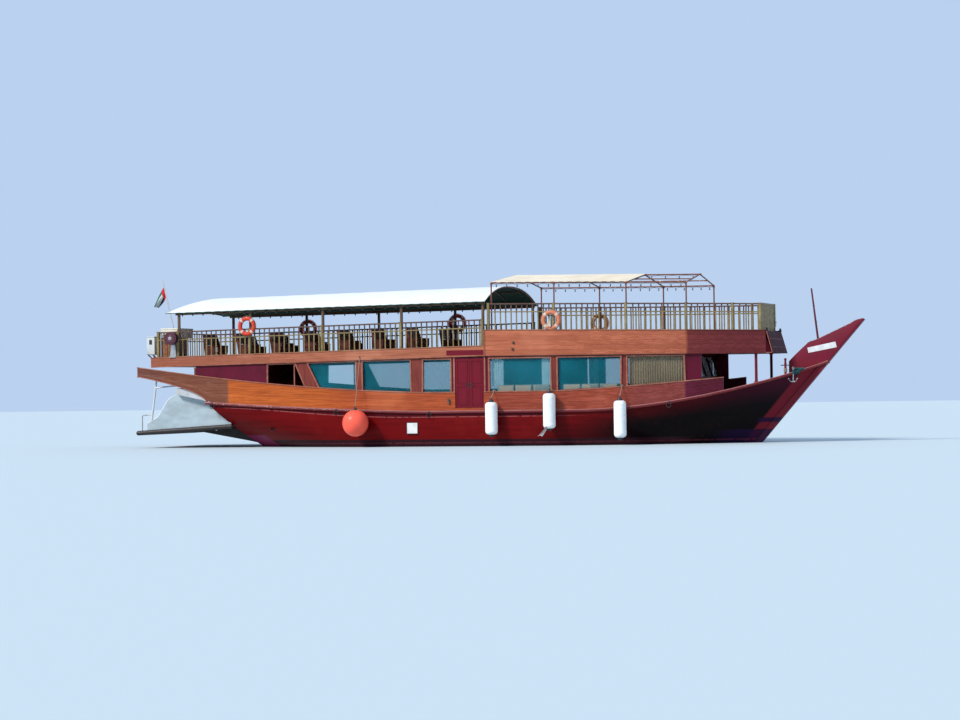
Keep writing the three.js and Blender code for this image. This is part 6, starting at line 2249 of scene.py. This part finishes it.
def make_post_trim():
    """Capitals and feet for the two posts under the upper deck."""
    heap = Heap()
    for side in ("starboard", "port"):
        low, high = corners_of("foredeck_post_" + side)
        centre = (low + high) / 2
        for z, way in ((low.z, 1), (high.z, -1)):
            heap.lathe((centre.x, centre.y, z + way * 0.002), (0, 0, way),
                       [(0, 0.085), (0.02, 0.085), (0.03, 0.062), (0.06, 0.056)], 20)
    return piece("post_trim", heap, [stem_paint])


make_bitts()
make_grapnel()
make_bow_trim()
make_post_trim()
dress("bow_pole", pole_paint)
dress("foredeck_post_starboard", stem_paint)
# The port post takes the darker visor paint as painted shade on the far side; the starboard post keeps the
# stem paint.
dress("foredeck_post_port", deep_maroon)
print("bow fitted")

# %% [markdown]
# Seven rows of double seats stand on the aft deck: slats on end frames, on two long boards. One function
# makes a seat and a loop sets it.

# %% Deck seats
SEAT_ROWS = 7
SEAT_PITCH = 1.3143
FIRST_ROW = -9.8


def make_deck_seats():
    luck = Random(55)
    heap = Heap()
    for i in range(SEAT_ROWS):
        x = FIRST_ROW + i * SEAT_PITCH
        deck = aft_deck(x)
        for side in (-1, 1):
            y0, y1 = sorted((side * 1.15, side * 2.35))
            for k in range(5):
                heap.board = luck.random()
                at = x + 0.042 + 0.084 * k
                lift = 0.414 - 0.01 * sin(pi * k / 4)
                heap.athwart(at, y0, y1, deck + lift, 0.074, 0.028, edge=0.006)
            for k in range(4):
                heap.board = luck.random()
                z = deck + 0.49 + 0.095 * k
                lean = -0.012 - 0.012 * k
                heap.athwart(x + lean, y0, y1, z, 0.024, 0.092, edge=0.006)
            for y in (y0 + 0.05, (y0 + y1) / 2, y1 - 0.05):
                heap.board = luck.random()
                heap.along(x + 0.01, x + 0.41, y, deck + 0.385, 0.045, 0.034)
                heap.bar((x + 0.012, y, deck + 0.37), (x - 0.052, y, deck + 0.815), 0.045, 0.036,
                         up=(0, 1, 0))
            for y in (y0 + 0.012, y1 - 0.012):
                panel = [(0.03, 0.06), (0.36, 0.06), (0.4, 0.2), (0.4, 0.4), (0.1, 0.42), (-0.02, 0.8),
                         (-0.055, 0.8), (-0.01, 0.4)]
                heap.prism([(x + dx, y - 0.009, deck + dz) for dx, dz in panel], (0, 0.018, 0))
            for y in (y0 + 0.12, y1 - 0.12):
                heap.upright(x + 0.055, y, deck + 0.02, deck + 0.37, 0.06, 0.05)
                heap.bar((x + 0.35, y, deck + 0.37), (x + 0.075, y, deck + 0.1), 0.04, 0.04, up=(0, 1, 0))
            heap.athwart(x + 0.055, y0 + 0.09, y1 - 0.09, deck + 0.16, 0.04, 0.06)
            heap.block((x - 0.02, side * 1.7 - 0.05, deck + 0.001),
                       (x + 0.14, side * 1.7 + 0.05, deck + 0.04))
    for side in (-1, 1):
        heap.bar((-9.9, side * 1.7, aft_deck(-9.9) + 0.02), (-0.02, side * 1.7, aft_deck(-0.02) + 0.02),
                 0.098, 0.038)
    heap.athwart(-9.85, -1.7, 1.7, aft_deck(-9.85) + 0.016, 0.098, 0.028)
    return piece("deck_seats", heap, [seat_wood], replaces=["aft_deck_seats"])


make_deck_seats()
print("seats:", 2 * SEAT_ROWS)

# %% [markdown]
# A propeller blade is a twisted sheet: steep at the hub and flat at the tip, so that each part screws
# through the water by the same pitch.

# %% Propeller and rudder
PROPELLER = Vector((-6.05, 0, -1.2))
BLADE_REACH = 0.395
SCREW_PITCH = 0.62


def make_propeller():
    heap = Heap()
    hub = [(-0.112, 0.03), (-0.105, 0.055), (-0.08, 0.078), (0.0, 0.086), (0.09, 0.08), (0.108, 0.062)]
    heap.lathe(PROPELLER, (1, 0, 0), hub, 28)
    for blade in range(4):
        turn = Matrix.Rotation(pi / 2 * blade + pi / 4, 3, "X")
        faces = {1: [], -1: []}
        for r in steps(0.06, BLADE_REACH, 0.022):
            share = (r - 0.06) / (BLADE_REACH - 0.06)
            chord = 0.3 * sin(pi * clamp(0.28 + 0.66 * share)) ** 0.8 + 0.01
            angle = atan(SCREW_PITCH / (2 * pi * r))
            for way in (1, -1):
                row = []
                for c in steps(-0.5, 0.5, 0.1):
                    thick = mix(0.016, 0.003, share) * (1 - (2 * c) ** 2) + 0.001
                    along = c * chord * sin(angle) + way * thick * cos(angle)
                    around = c * chord * cos(angle) - way * thick * sin(angle) - 0.02 * share
                    spin = around / r
                    row.append(PROPELLER + turn @ Vector((along, r * sin(spin), r * cos(spin))))
                faces[way].append(row)
        rows = [front + back[::-1] for front, back in zip(faces[1], faces[-1])]
        heap.solid(rows)
    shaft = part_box("propeller")[1][0]
    heap.finish = 1
    heap.tube([PROPELLER + Vector((0.1, 0, 0)), Vector((shaft, 0, PROPELLER.z))], 0.0445, 20)
    return piece("propeller_blades", heap, [bronze, steel], body="propeller",
                 replaces=["propeller"])


def make_rudder():
    """A faired wooden blade with iron straps, on its stock."""
    low, high = corners_of("rudder")
    heap = Heap()
    outline = [(-6.842, -1.688), (-6.842, -0.882), (-7.02, -0.862), (-7.26, -0.93), (-7.518, -1.002),
               (-7.545, -1.3), (-7.558, -1.658), (-7.2, -1.678)]
    rows = []
    for y, ease in ((-0.039, 0.035), (-0.026, 0.006), (0.0, 0.0), (0.026, 0.006), (0.039, 0.035)):
        middle = Vector((-7.2, 0, -1.28))
        rows.append([Vector((x + (middle.x - x) * ease * 1.6, y, z + (middle.z - z) * ease))
                     for x, z in outline])
    heap.solid(rows)
    heap.finish = 1
    for z in (-0.98, -1.52):
        heap.bar((-6.86, 0.041, z), (-7.32, 0.041, z - 0.02), 0.008, 0.06)
        heap.bar((-6.86, -0.041, z), (-7.32, -0.041, z - 0.02), 0.008, 0.06)
    heap.finish = 2
    heap.tube([(-6.9, 0, -1.0), (-6.9, 0, high.z)], 0.0495, 20)
    heap.tube([(-6.9, 0, low.z), (-6.9, 0, -1.5)], 0.03, 16)
    return piece("rudder_blade", heap, [rudder_paint, iron, bronze], body="rudder",
                 replaces=["rudder"])


def make_hatch():
    low, high = corners_of("engine_hatch")
    heap = Heap()
    luck = Random(61)
    edges = steps(low.y, high.y, 0.135)
    for y0, y1 in zip(edges, edges[1:]):
        heap.board = luck.random()
        heap.block((low.x, y0 + 0.0015, low.z), (high.x, y1 - 0.0015, high.z), 0.002)
    heap.finish = 1
    for x in (low.x + 0.15, high.x - 0.15):
        heap.ring((x, 0, high.z + 0.004), UP, 0.035, 0.005, 20, 6)
    piece("hatch_boards", heap, [deck_wood, bronze], replaces=["engine_hatch"])


make_propeller()
make_rudder()
make_hatch()
dress("engine", engine_paint)
print("running gear made")
